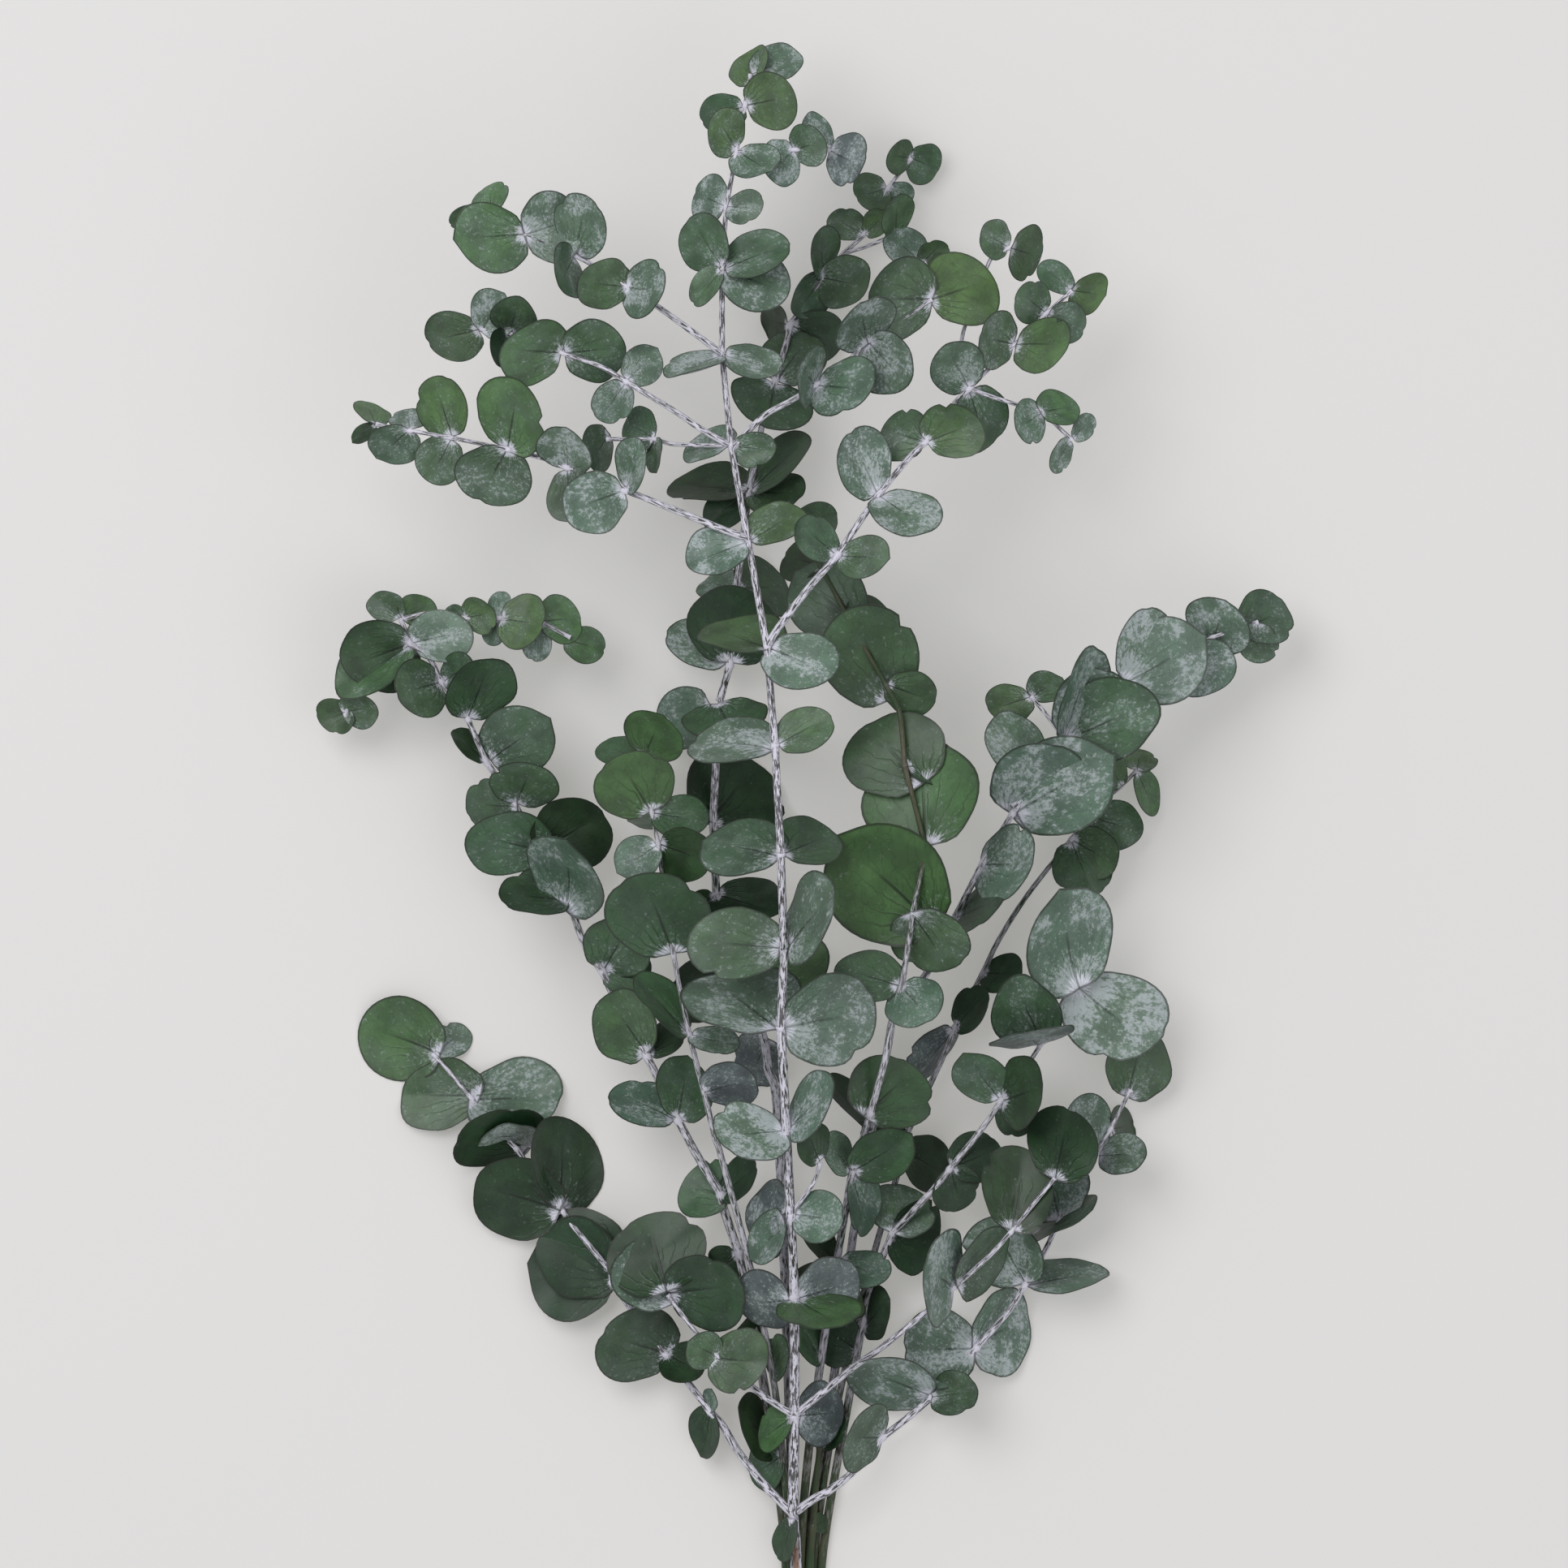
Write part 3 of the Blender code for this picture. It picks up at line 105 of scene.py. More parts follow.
# The layout. A shoot is (radius at its foot, radius at its tip, rows), in millimetres.
# A row is (across, along, height, leaves). Across and along are in picture units, along
# falls towards the tips, and height is in millimetres over the surface.
# A leaf is (left, top, right, bottom, kind) and the box that it fills as seen from above.
# Kinds: d dark, m middle green, g bright green, s silvery, p the underside seen.
FRONT_STEM = [
    (2.75, 0.9, [
        (981, 2075, 10.4),
        (981, 1932, 10.4),
        (977, 1872, 17, (952, 1877, 986, 1932, "d")),
        (979, 1748, 29, (927, 1737, 971, 1797, "g"), (988, 1709, 1046, 1792, "p")),
        (979, 1601, 47, (925, 1560, 975, 1650, "p"), (985, 1550, 1063, 1630, "p"),
         (952, 1598, 1059, 1632, "g")),
        (974, 1496, 57, (911, 1453, 967, 1552, "p"), (984, 1466, 1043, 1533, "s"),
         (915, 1500, 976, 1563, "s")),
        (969, 1392, 68, (880, 1358, 971, 1433, "s"), (970, 1311, 1034, 1403, "s")),
        (962, 1266, 83, (842, 1197, 991, 1273, "s"), (971, 1197, 1090, 1315, "s")),
        (966, 1167, 92, (836, 1123, 952, 1203, "m"), (949, 1069, 1063, 1172, "s")),
        (962, 1052, 100, (860, 1020, 968, 1069, "m"), (969, 1009, 1064, 1055, "m")),
        (955, 919, 106, (847, 885, 957, 944, "s"), (954, 872, 1028, 928, "g")),
        (945, 798, 108, (858, 768, 969, 808, "g"), (940, 782, 1034, 846, "s")),
        (922, 669, 106, (843, 654, 923, 712, "s"), (920, 622, 995, 674, "g")),
        (901, 552, 102, (836, 526, 904, 577, "s"), (903, 533, 958, 578, "m")),
        (890, 439, 96, (814, 436, 889, 477, "s"), (892, 428, 964, 474, "s")),
        (890, 334, 90, (836, 266, 901, 340, "m"), (890, 310, 975, 388, "s"),
         (890, 298, 976, 338, "m"), (852, 330, 892, 384, "g")),
        (895, 258, 86, (851, 216, 896, 279, "s"), (895, 239, 939, 278, "s")),
        (908, 188, 82, (870, 129, 916, 194, "g"), (900, 186, 968, 226, "s")),
        (918, 133, 79, (918, 91, 981, 165, "g"), (863, 120, 919, 166, "m")),
        (925, 94, 77, (900, 59, 950, 108, "g"), (925, 57, 991, 103, "s")),
    ]),
    (1.1, 0.8, [
        (908, 189, 82), (946, 189, 81),
        (979, 187, 80, (945, 172, 983, 232, "s"), (972, 155, 1020, 208, "m")),
        (1023, 188, 78, (988, 142, 1025, 190, "s"), (1019, 165, 1070, 232, "p")),
    ]),
    (1.5, 0.8, [
        (890, 439, 96), (848, 408, 97), (809, 380, 98),
        (774, 358, 98, (712, 328, 781, 384, "m"), (771, 325, 822, 398, "s")),
        (734, 332, 98),
        (710, 319, 98, (697, 239, 739, 323, "s"), (654, 317, 734, 376, "m")),
        (649, 293, 97, (563, 253, 651, 342, "g"), (645, 242, 691, 333, "s")),
        (607, 266, 94, (583, 225, 629, 268, "g"), (555, 262, 608, 283, "d")),
    ]),
    (1.5, 0.8, [
        (900, 552, 102), (865, 532, 102), (831, 509, 102),
        (773, 474, 101, (765, 433, 817, 476, "s"), (734, 471, 785, 523, "s")),
        (742, 455, 100),
        (696, 439, 99, (617, 397, 698, 479, "g"), (694, 392, 752, 482, "m")),
        (630, 414, 96, (618, 340, 665, 415, "m"), (601, 413, 640, 470, "d")),
        (594, 409, 95, (525, 386, 596, 449, "m"), (588, 365, 618, 430, "s")),
    ]),
    (1.0, 0.8, [
        (900, 552, 102), (834, 550, 93),
        (807, 543, 89, (772, 501, 809, 560, "m"), (801, 541, 817, 584, "m")),
        (748, 543, 86, (724, 523, 756, 583, "d")),
    ]),
    (1.7, 0.8, [
        (920, 665, 106), (892, 655, 106), (840, 634, 105), (790, 614, 104),
        (771, 607, 104, (703, 584, 774, 660, "s"), (767, 542, 801, 611, "s")),
        (737, 593, 103),
        (700, 579, 102, (677, 508, 724, 586, "s"), (679, 577, 727, 643, "m")),
        (677, 569, 101),
        (627, 556, 99, (591, 465, 672, 562, "g"), (565, 550, 661, 625, "m")),
        (559, 542, 95, (518, 470, 585, 544, "g"), (517, 540, 573, 602, "m")),
        (507, 533, 92, (484, 477, 525, 534, "s"), (457, 525, 522, 574, "m")),
        (466, 525, 89, (433, 484, 485, 528, "g"), (435, 524, 467, 549, "d")),
    ]),
    (1.5, 0.8, [
        (903, 556, 102), (940, 517, 103), (975, 497, 104),
        (1005, 478, 104, (977, 425, 1009, 505, "s"), (1002, 444, 1087, 515, "s")),
        (1046, 447, 103),
        (1067, 424, 102, (1041, 333, 1079, 432, "s"), (1048, 418, 1148, 489, "s")),
        (1086, 414, 102),
        (1147, 373, 99, (1074, 321, 1153, 424, "m"), (1137, 315, 1231, 406, "g")),
    ]),
    (1.8, 0.8, [
        (945, 798, 108), (960, 774, 108), (995, 728, 108),
        (1031, 687, 107, (1033, 662, 1099, 713, "m"), (977, 635, 1032, 694, "m")),
        (1050, 658, 106),
        (1081, 613, 104, (1031, 526, 1095, 616, "s"), (1067, 611, 1158, 656, "s")),
        (1118, 568, 102),
        (1139, 548, 100, (1080, 508, 1143, 573, "m"), (1133, 502, 1212, 568, "g")),
        (1174, 501, 98),
        (1193, 482, 96, (1146, 407, 1207, 489, "s"), (1170, 479, 1240, 560, "m")),
        (1209, 465, 95),
        (1249, 427, 92, (1194, 387, 1251, 458, "m"), (1248, 392, 1316, 464, "g")),
        (1288, 389, 88, (1249, 346, 1292, 401, "m"), (1288, 375, 1335, 428, "m")),
        (1319, 361, 85, (1276, 323, 1321, 364, "m"), (1317, 336, 1364, 389, "g")),
    ]),
    (1.0, 0.8, [
        (1193, 482, 96), (1232, 495, 92),
        (1283, 510, 87, (1245, 496, 1287, 553, "s"), (1276, 481, 1329, 528, "g")),
        (1319, 543, 83, (1291, 541, 1320, 585, "s"), (1318, 510, 1348, 545, "s")),
    ]),
    (1.0, 0.8, [
        (1193, 482, 96), (1184, 421, 86), (1219, 323, 78),
        (1243, 307, 76, (1208, 270, 1243, 321, "m"), (1243, 277, 1290, 348, "m")),
    ]),
    (2.0, 0.9, [
        (977, 1872, 17), (957, 1852, 17), (935, 1828, 17), (908, 1793, 15), (891, 1764, 16),
        (874, 1744, 16, (851, 1740, 890, 1802, "d"), (866, 1716, 884, 1745, "s")),
        (850, 1713, 15.5),
        (818, 1673, 15, (732, 1615, 834, 1709, "d"), (815, 1659, 870, 1712, "d")),
        (773, 1614, 15),
        (754, 1575, 13, (685, 1506, 760, 1636, "d"), (676, 1506, 775, 1612, "d")),
        (709, 1521, 11.5),
        (689, 1495, 10, (638, 1382, 750, 1500, "d"), (584, 1433, 692, 1531, "d")),
        (634, 1420, 9, (588, 1367, 663, 1459, "s"), (554, 1361, 674, 1451, "d")),
        (600, 1385, 8),
        (577, 1356, 7.5, (490, 1323, 594, 1388, "m"), (567, 1325, 687, 1389, "s")),
        (551, 1325, 7),
        (529, 1301, 6.5, (449, 1239, 550, 1335, "g"), (527, 1266, 580, 1303, "s")),
    ]),
    (1.7, 0.9, [
        (979, 1748, 29), (946, 1727, 32), (913, 1701, 33),
        (886, 1675, 35, (846, 1641, 889, 1692, "m"), (872, 1638, 945, 1716, "m")),
        (855, 1642, 37),
        (822, 1597, 40, (754, 1533, 867, 1617, "s"), (749, 1502, 872, 1600, "d"),
         (820, 1532, 912, 1645, "d")),
    ]),
    (2.0, 0.9, [
        (981, 1869, 17), (1004, 1852, 20), (1021, 1843, 21), (1048, 1822, 21),
        (1087, 1777, 20, (1035, 1731, 1092, 1820, "m")),
        (1111, 1759, 18),
        (1150, 1727, 19, (1057, 1657, 1153, 1761, "s"), (1148, 1709, 1222, 1733, "m")),
        (1205, 1665, 21, (1113, 1616, 1208, 1720, "s"), (1197, 1593, 1263, 1709, "s")),
        (1245, 1619, 22),
        (1265, 1587, 22, (1184, 1510, 1298, 1589, "s"), (1264, 1558, 1370, 1597, "s")),
        (1287, 1550, 22),
        (1307, 1508, 22, (1244, 1441, 1350, 1511, "s"), (1257, 1499, 1369, 1517, "m")),
        (1334, 1459, 22),
        (1353, 1426, 22, (1353, 1408, 1427, 1440, "s"), (1323, 1351, 1362, 1428, "s")),
        (1371, 1394, 22, (1371, 1370, 1440, 1410, "d")),
        (1396, 1345, 21, (1356, 1265, 1447, 1363, "m")),
    ]),
    (1.7, 0.9, [
        (979, 1748, 29), (1015, 1718, 33), (1057, 1684, 33), (1087, 1663, 36),
        (1141, 1619, 41),
        (1177, 1587, 44, (1141, 1514, 1182, 1638, "s"), (1170, 1502, 1245, 1611, "m")),
        (1222, 1546, 48),
        (1247, 1518, 50, (1221, 1413, 1288, 1522, "d")),
        (1300, 1452, 54, (1275, 1355, 1346, 1461, "d")),
    ]),
    (1.1, 0.8, [
        (974, 1496, 57), (1001, 1460, 61),
        (1011, 1432, 66, (985, 1380, 1016, 1436, "d")),
    ]),
]
BACK_STEM = [
    (2.4, 0.9, [
        (980, 2060, 2.5), (980, 1932, 2.5), (973, 1750, 4.5), (966, 1550, 9),
        (957, 1362, 15), (947, 1322, 16), (943, 1290, 17, (900, 1275, 968, 1345, "p")),
        (915, 1190, 19, (915, 1150, 1030, 1240, "g"), (820, 1180, 918, 1262, "d")),
        (882, 1102, 21, (870, 1090, 960, 1135, "d"), (845, 1098, 884, 1150, "d")),
        (878, 1012, 22, (837, 941, 971, 1024, "d"), (772, 989, 880, 1029, "m")),
        (885, 867, 24, (841, 862, 947, 911, "m"), (787, 858, 888, 920, "s")),
        (899, 818, 24, (819, 761, 901, 819, "s"), (843, 743, 958, 820, "d")),
        (904, 750, 24),
        (907, 723, 24, (851, 706, 908, 730, "s"), (906, 686, 995, 756, "m")),
        (923, 602, 24, (820, 571, 925, 621, "d"), (921, 579, 993, 632, "m"),
         (866, 597, 925, 654, "d"), (921, 530, 1001, 604, "m")),
        (928, 578, 24), (939, 520, 23),
        (955, 466, 22, (930, 418, 1019, 468, "m"), (898, 464, 1000, 534, "m")),
        (970, 415, 21),
        (973, 397, 20, (909, 367, 974, 417, "d"), (971, 379, 1041, 441, "d")),
        (988, 376, 20),
        (1014, 337, 19, (973, 330, 1027, 384, "m"), (1004, 309, 1075, 373, "m"),
         (993, 274, 1033, 339, "m")),
        (1040, 308, 18),
        (1066, 284, 18, (1016, 253, 1068, 291, "m"), (1064, 251, 1101, 286, "g")),
        (1083, 251, 17),
        (1096, 225, 16, (1051, 207, 1097, 258, "m"), (1095, 218, 1127, 251, "s")),
        (1124, 189, 15, (1093, 166, 1125, 210, "m"), (1118, 170, 1160, 223, "m")),
    ]),
    (1.0, 0.8, [
        (1040, 308, 18), (1072, 298, 22),
        (1105, 285, 26, (1089, 233, 1121, 287, "g")),
        (1136, 321, 30, (1093, 280, 1148, 332, "s"), (1132, 294, 1172, 323, "m")),
    ]),
]
LEFT_ARCHING_STEM = [
    (2.3, 0.9, [
        (968.6, 2050, 2.5), (968.6, 1932, 2.5), (952, 1780, 8), (926, 1630, 19),
        (910, 1548, 25, (868, 1536, 912, 1590, "d")),
        (892, 1494, 29),
        (888, 1474, 30, (838, 1434, 904, 1509, "m")),
        (858, 1425, 33),
        (835, 1382, 35, (749, 1337, 837, 1387, "s"), (805, 1303, 878, 1384, "m")),
        (806, 1322, 36),
        (796, 1302, 36, (739, 1213, 806, 1319, "m"),
         (795, 1256, 848, 1304, "d")),
        (755, 1227, 36),
        (742, 1199, 36, (722, 1115, 800, 1202, "m"),
         (741, 1179, 800, 1219, "m")),
        (721, 1169, 36),
        (699, 1109, 36, (672, 992, 728, 1121, "s"), (607, 1078, 705, 1137, "d")),
        (681, 1081, 36),
        (664, 1050, 36, (574, 1004, 677, 1079, "m"), (651, 982, 758, 1070, "d")),
        (634, 992, 36, (567, 969, 643, 1016, "m"), (607, 926, 692, 997, "m")),
        (605, 949, 36),
        (597, 938, 36, (554, 896, 599, 939, "d"), (582, 881, 691, 944, "m")),
        (575, 886, 36, (547, 808, 641, 888, "m")),
        (543, 840, 36, (476, 810, 547, 882, "m"), (543, 803, 600, 841, "m")),
        (525, 807, 35),
        (503, 792, 34, (413, 758, 514, 852, "m"), (501, 758, 584, 808, "s"),
         (412, 790, 505, 859, "g")),
        (492, 762, 34, (449, 727, 498, 765, "m"), (490, 734, 543, 763, "g")),
        (528, 755, 35),
        (571, 761, 37, (544, 747, 573, 763, "m"), (568, 733, 609, 781, "g")),
        (614, 761, 38, (613, 729, 664, 802, "g"), (603, 728, 624, 763, "s"),
         (597, 759, 616, 796, "s")),
        (665, 765, 39, (661, 732, 713, 792, "g"), (649, 763, 669, 814, "s")),
        (702, 785, 40, (691, 768, 738, 814, "g")),
    ]),
    (1.0, 0.8, [
        (503, 792, 34), (462, 826, 30), (433, 859, 27),
        (423, 877, 25, (385, 859, 434, 904, "m"), (416, 853, 465, 897, "m")),
    ]),
]
LEFT_INNER_STEM = [
    (1.7, 0.9, [
        (973.9, 2040, 6.0), (973.9, 1932, 6.0), (958, 1740, 18), (928, 1580, 34),
        (889, 1428, 48),
        (881, 1403, 49), (867, 1345, 51),
        (858, 1311, 52),
        (849, 1274, 56, (849, 1266, 912, 1299, "s"), (778, 1197, 850, 1276, "m")),
        (840, 1230, 58),
        (830, 1177, 60, (744, 1076, 877, 1177, "m")),
        (820, 1110, 60),
        (811, 1040, 60, (758, 1032, 813, 1084, "s"), (806, 1016, 890, 1086, "d")),
        (803, 1001, 60, (732, 936, 834, 1006, "g"), (803, 985, 874, 1030, "m")),
        (791, 938, 60, (726, 909, 793, 939, "m"), (772, 864, 840, 943, "g")),
    ]),
]
RIGHT_CENTRE_STEM = [
    (2.1, 0.9, [
        (986.7, 2065, 6.65), (986.7, 1932, 6.65), (996, 1800, 12), (1015, 1660, 17),
        (1032, 1554, 26, (1010, 1552, 1075, 1640, "g"), (1028, 1548, 1098, 1586, "s")),
        (1050, 1446, 44, (1040, 1444, 1082, 1527, "s"), (1048, 1385, 1118, 1469, "m"),
         (1011, 1392, 1052, 1448, "s")),
        (1063, 1406, 49),
        (1073, 1371, 54, (1039, 1312, 1150, 1388, "m")),
        (1091, 1304, 60), (1099, 1258, 63),
        (1111, 1215, 66, (1028, 1180, 1113, 1226, "m"), (1091, 1207, 1168, 1261, "s")),
        (1125, 1125, 70, (1032, 1035, 1175, 1177, "g"), (1092, 1113, 1200, 1195, "m")),
        (1140, 1044, 74, (1064, 941, 1212, 1047, "g")),
        (1115, 945, 74, (1037, 879, 1163, 981, "m"), (1113, 921, 1196, 959, "m")),
        (1108, 879, 73),
        (1091, 844, 72, (1026, 761, 1133, 879, "m"), (1089, 825, 1146, 882, "m")),
        (1046, 764, 66, (977, 702, 1071, 790, "m"), (1044, 740, 1118, 782, "m")),
        (1010, 696, 60, (940, 670, 1012, 710, "d")),
        (985, 645, 56, (977, 613, 1036, 667, "m")),
    ]),
]
RIGHT_ARCHING_STEM = [
    (2.3, 0.9, [
        (992.2, 2070, 2.4), (992.2, 1932, 2.4), (1012, 1800, 2.6), (1030, 1690, 5),
        (1056, 1500, 13),
        (1093, 1301, 24), (1104, 1252, 27), (1142, 1201, 32),
        (1177, 1132, 37, (1172, 1078, 1262, 1149, "d")),
        (1212, 1063, 42, (1200, 1033, 1317, 1099, "s")),
        (1248, 1003, 45, (1219, 919, 1341, 1031, "s"), (1243, 915, 1389, 1010, "s")),
        (1283, 955, 46, (1216, 876, 1292, 957, "s")),
        (1313, 911, 47, (1296, 829, 1400, 923, "s"), (1311, 851, 1442, 917, "m"),
         (1311, 789, 1355, 913, "s")),
        (1390, 842, 47, (1376, 770, 1480, 870, "s"), (1388, 749, 1433, 844, "s")),
        (1444, 812, 46, (1440, 786, 1525, 857, "s")),
        (1495, 785, 45, (1457, 738, 1539, 811, "s")),
        (1552, 766, 43, (1527, 728, 1594, 796, "m"), (1527, 764, 1576, 819, "m")),
    ]),
    (1.0, 0.8, [
        (1313, 911, 47), (1290, 880, 42),
        (1272, 858, 38, (1214, 844, 1274, 888, "g"), (1267, 826, 1322, 862, "g")),
    ]),
]
RIGHT_SLIM_STEM = [
    (1.7, 0.9, [
        (1003.7, 2045, 1.9), (1003.7, 1932, 1.9), (1030, 1750, 5), (1075, 1560, 10),
        (1116, 1421, 14, (1060, 1380, 1120, 1425, "d")),
        (1119, 1400, 14), (1160, 1312, 16),
        (1178, 1268, 16, (1118, 1266, 1180, 1340, "p"), (1176, 1212, 1224, 1272, "d")),
        (1213, 1200, 17, (1211, 1176, 1262, 1226, "d")),
        (1234, 1157, 17), (1268, 1104, 17),
        (1322, 1035, 18, (1320, 1019, 1387, 1086, "m"), (1306, 1033, 1366, 1109, "m")),
        (1345, 1006, 18, (1343, 988, 1406, 1043, "m"), (1310, 960, 1347, 1010, "m")),
        (1364, 985, 18),
        (1383, 970, 17, (1360, 925, 1390, 972, "g")),
        (1404, 949, 16, (1384, 917, 1430, 951, "g"), (1400, 947, 1433, 1006, "g")),
    ]),
]
RIGHT_OUTER_STEM = [
    (2.1, 0.9, [
        (1013.3, 2055, 2.2), (1013.3, 1932, 2.2), (1045, 1740, 7.5), (1072, 1600, 17),
        (1100, 1523, 26, (1070, 1462, 1153, 1527, "m"), (1095, 1480, 1160, 1574, "d")),
        (1152, 1467, 31),
        (1172, 1442, 33, (1170, 1396, 1237, 1462, "d")),
        (1212, 1391, 37),
        (1234, 1358, 39, (1173, 1298, 1248, 1359, "m"), (1232, 1307, 1347, 1364, "d"),
         (1228, 1352, 1280, 1407, "d")),
        (1262, 1321, 41),
        (1284, 1287, 43, (1219, 1176, 1305, 1289, "m"), (1248, 1282, 1366, 1317, "s")),
        (1303, 1252, 44),
        (1326, 1214, 45, (1267, 1089, 1364, 1223, "s"), (1303, 1212, 1440, 1290, "s")),
    ]),
]
SHORT_GREEN_STEM = [
    (2.2, 1.3, [
        (998.3, 2035, 6.7), (998.3, 1932, 6.7),
        (1002, 1891, 8.0, (1001, 1872, 1020, 1899, "d")),
        (1005, 1845, 9.2),
        (1010, 1790, 10.5, (1006, 1738, 1042, 1794, "d")),
    ]),
]
STEMS = {
    "front_stem": FRONT_STEM,
    "back_stem": BACK_STEM,
    "left_arching_stem": LEFT_ARCHING_STEM,
    "left_inner_stem": LEFT_INNER_STEM,
    "right_centre_stem": RIGHT_CENTRE_STEM,
    "right_arching_stem": RIGHT_ARCHING_STEM,
    "right_slim_stem": RIGHT_SLIM_STEM,
    "right_outer_stem": RIGHT_OUTER_STEM,
    "short_green_stem": SHORT_GREEN_STEM,
}


def place(across, along, height):
    """A layout point in metres."""
    return np.array([(across - MIDDLE_ACROSS) * PICTURE_UNIT,
                     (MIDDLE_ALONG - along) * PICTURE_UNIT,
                     height * LAYER])


class Leaf:
    """One leaf as a tilted round: its foot, its middle, two half axes and its upper side."""

    def __init__(self, stem, shoot, row, foot, toward, box, order, arched):
        left, top, right, bottom, kind = box
        self.stem = stem
        self.shoot = shoot
        self.row = row
        self.kind = kind
        self.foot = foot
        low = place(left, bottom, 0)
        high = place(right, top, 0)
        half = (high - low)[:2] / 2
        centre = ((high + low) / 2)[:2]
        reach = centre - foot[:2]
        limit = half * FOOT_LIMIT
        reach = np.clip(reach, -limit, limit)
        # A leaf whose foot is drawn inside its box clasps the stem, and its rim lies behind it
        share = np.linalg.norm(reach / half)
        clasp = 0.0
        if share < CLASPS:
            clasp = CLASPS / max(share, 0.05) - 1.0
            reach = reach * (1.0 + clasp)
        # The ellipse that fills the box and has the foot on its rim
        root = math.sqrt(max((half[0] ** 2 - reach[0] ** 2) * (half[1] ** 2 - reach[1] ** 2), 0))
        slant = min((reach[0] * reach[1] + root, reach[0] * reach[1] - root), key=abs)
        most = MOST_SLANT * half[0] * half[1]
        slant = max(-most, min(most, slant))
        spread, turn = np.linalg.eigh(np.array([[half[0] ** 2, slant], [slant, half[1] ** 2]]))
        minor, major = np.sqrt(spread)
        across, along = turn[:, 0], turn[:, 1]
        if across @ toward[:2] < 0:
            across = -across
        narrow = SLENDER_LEAF if minor < SLENDER_LEAF * major else 1.0
        steep = max(minor / (major * narrow), STEEPEST)
        rise = math.sqrt(1 - steep ** 2)
        seen = -1.0 if kind == "p" else 1.0
        self.long = np.array([along[0], along[1], 0.0]) * major
        self.wide = np.array([across[0] * steep, across[1] * steep, -seen * rise]) * major * narrow
        self.up = np.array([across[0] * rise, across[1] * rise, seen * steep])
        # The rib runs from the foot through the middle of the round
        rib = np.array([reach @ along / major, reach @ across / (major * narrow * steep)])
        self.rib = rib / max(np.linalg.norm(rib), 1e-9)
        self.middle = self.foot + self.rib[0] * self.long + self.rib[1] * self.wide
        back = reach * clasp / (1.0 + clasp)
        self.middle -= np.array([back[0], back[1], 0.0])
        self.size = major
        reach = self.middle - self.foot
        flat = np.array([reach[0], reach[1], 0.0])
        flat /= max(np.linalg.norm(flat), 1e-9)
        self.hinge = np.array([flat[1], -flat[0], 0.0])
        self.turned = np.zeros(2)
        self.limit = np.array(MOST_TURN)
        # Every leaf is dished, and curved along its rib, by its own amount
        self.dish = 0.10 + 0.07 * math.sin(order * 2.4)
        self.curve = 0.07 * math.sin(order * 1.7 + 1.0)
        along_stem = toward[:2] / np.linalg.norm(toward[:2])
        slope = math.atan(toward[2] / np.linalg.norm(toward[:2]))
        self.turn(self.hinge, slope * (flat[:2] @ along_stem))
        lean = ARCH_TILT if arched else SHINGLE_TILT
        if arched or steep > NEARLY_FLAT:
            self.turn(np.array([along_stem[1], -along_stem[0], 0.0]), lean)

    def turn(self, axis, angle):
        """Turn the leaf about a line through its foot."""
        c = math.cos(angle)
        s = math.sin(angle)

        def turned(v):
            return v * c + np.cross(axis, v) * s + axis * (axis @ v) * (1 - c)

        self.middle = self.foot + turned(self.middle - self.foot)
        self.long = turned(self.long)
        self.wide = turned(self.wide)
        self.up = turned(self.up)

    def height(self, along, aside):
        """How far the blade stands over its own plane: dished across, curved along."""
        return self.size * (self.dish * aside * aside + self.curve * (along + 1) ** 2 / 4)

    def covers(self, path):
        """The share of the leaf's length that the stem ahead of it would cross."""
        flat = np.linalg.inv(np.array([self.long[:2], self.wide[:2]]).T)
        inside = 0.0
        for a, b in zip(path[:-1], path[1:]):
            for k in range(COVER_SAMPLES):
                spot = flat @ (a + (b - a) * (k + 0.5) / COVER_SAMPLES - self.middle)[:2]
                if spot @ spot < 0.9:
                    inside += np.linalg.norm(b - a) / COVER_SAMPLES
        return inside / (2 * self.size)

    def bulge(self, local):
        """The blade's height over its plane at points given along its two half axes."""
        m, n = self.rib
        return self.height(local[:, 0] * m + local[:, 1] * n, local[:, 1] * m - local[:, 0] * n)

    def cloud(self, pattern):
        """The pattern's points on the blade."""
        flat = self.middle + pattern[:, :1] * self.long + pattern[:, 1:] * self.wide
        return flat + self.bulge(pattern)[:, None] * self.up

    def rest(self):
        """Forget what was asked for in the round before."""
        self.asked = np.zeros(2)

    def spine(self):
        """The direction from the foot to the middle."""
        run = self.middle - self.foot
        return run / math.sqrt(run @ run)

    def nudge(self, spot, rise):
        """Ask for the swing and the roll that raise a point of the leaf."""
        arm = spot - self.foot
        axis = self.spine()
        swing = self.hinge[0] * arm[1] - self.hinge[1] * arm[0]
        roll = axis[0] * arm[1] - axis[1] * arm[0]
        share = rise / (swing * swing + roll * roll + SOFT_ARM ** 2)
        self.asked += (swing * share, roll * share)

    def settle(self):
        """Make half of the turn that was asked for, within the leaf's limits."""
        step = np.clip(0.5 * self.asked, -TURN_STEP, TURN_STEP)
        step = np.clip(self.turned + step, -self.limit, self.limit) - self.turned
        self.turned = self.turned + step
        self.turn(self.hinge, step[0])
        self.turn(self.spine(), step[1])


def shoot_radius(foot_radius, tip_radius, share):
    """The radius in metres at a share of the way from a shoot's foot to its tip."""
    return max((foot_radius * (1 - share) + tip_radius * share) * 0.001, THINNEST_SHOOT)


def shoot_points(rows):
    """The points that a shoot passes through, in metres."""
    return [place(*row[:3]) for row in rows]


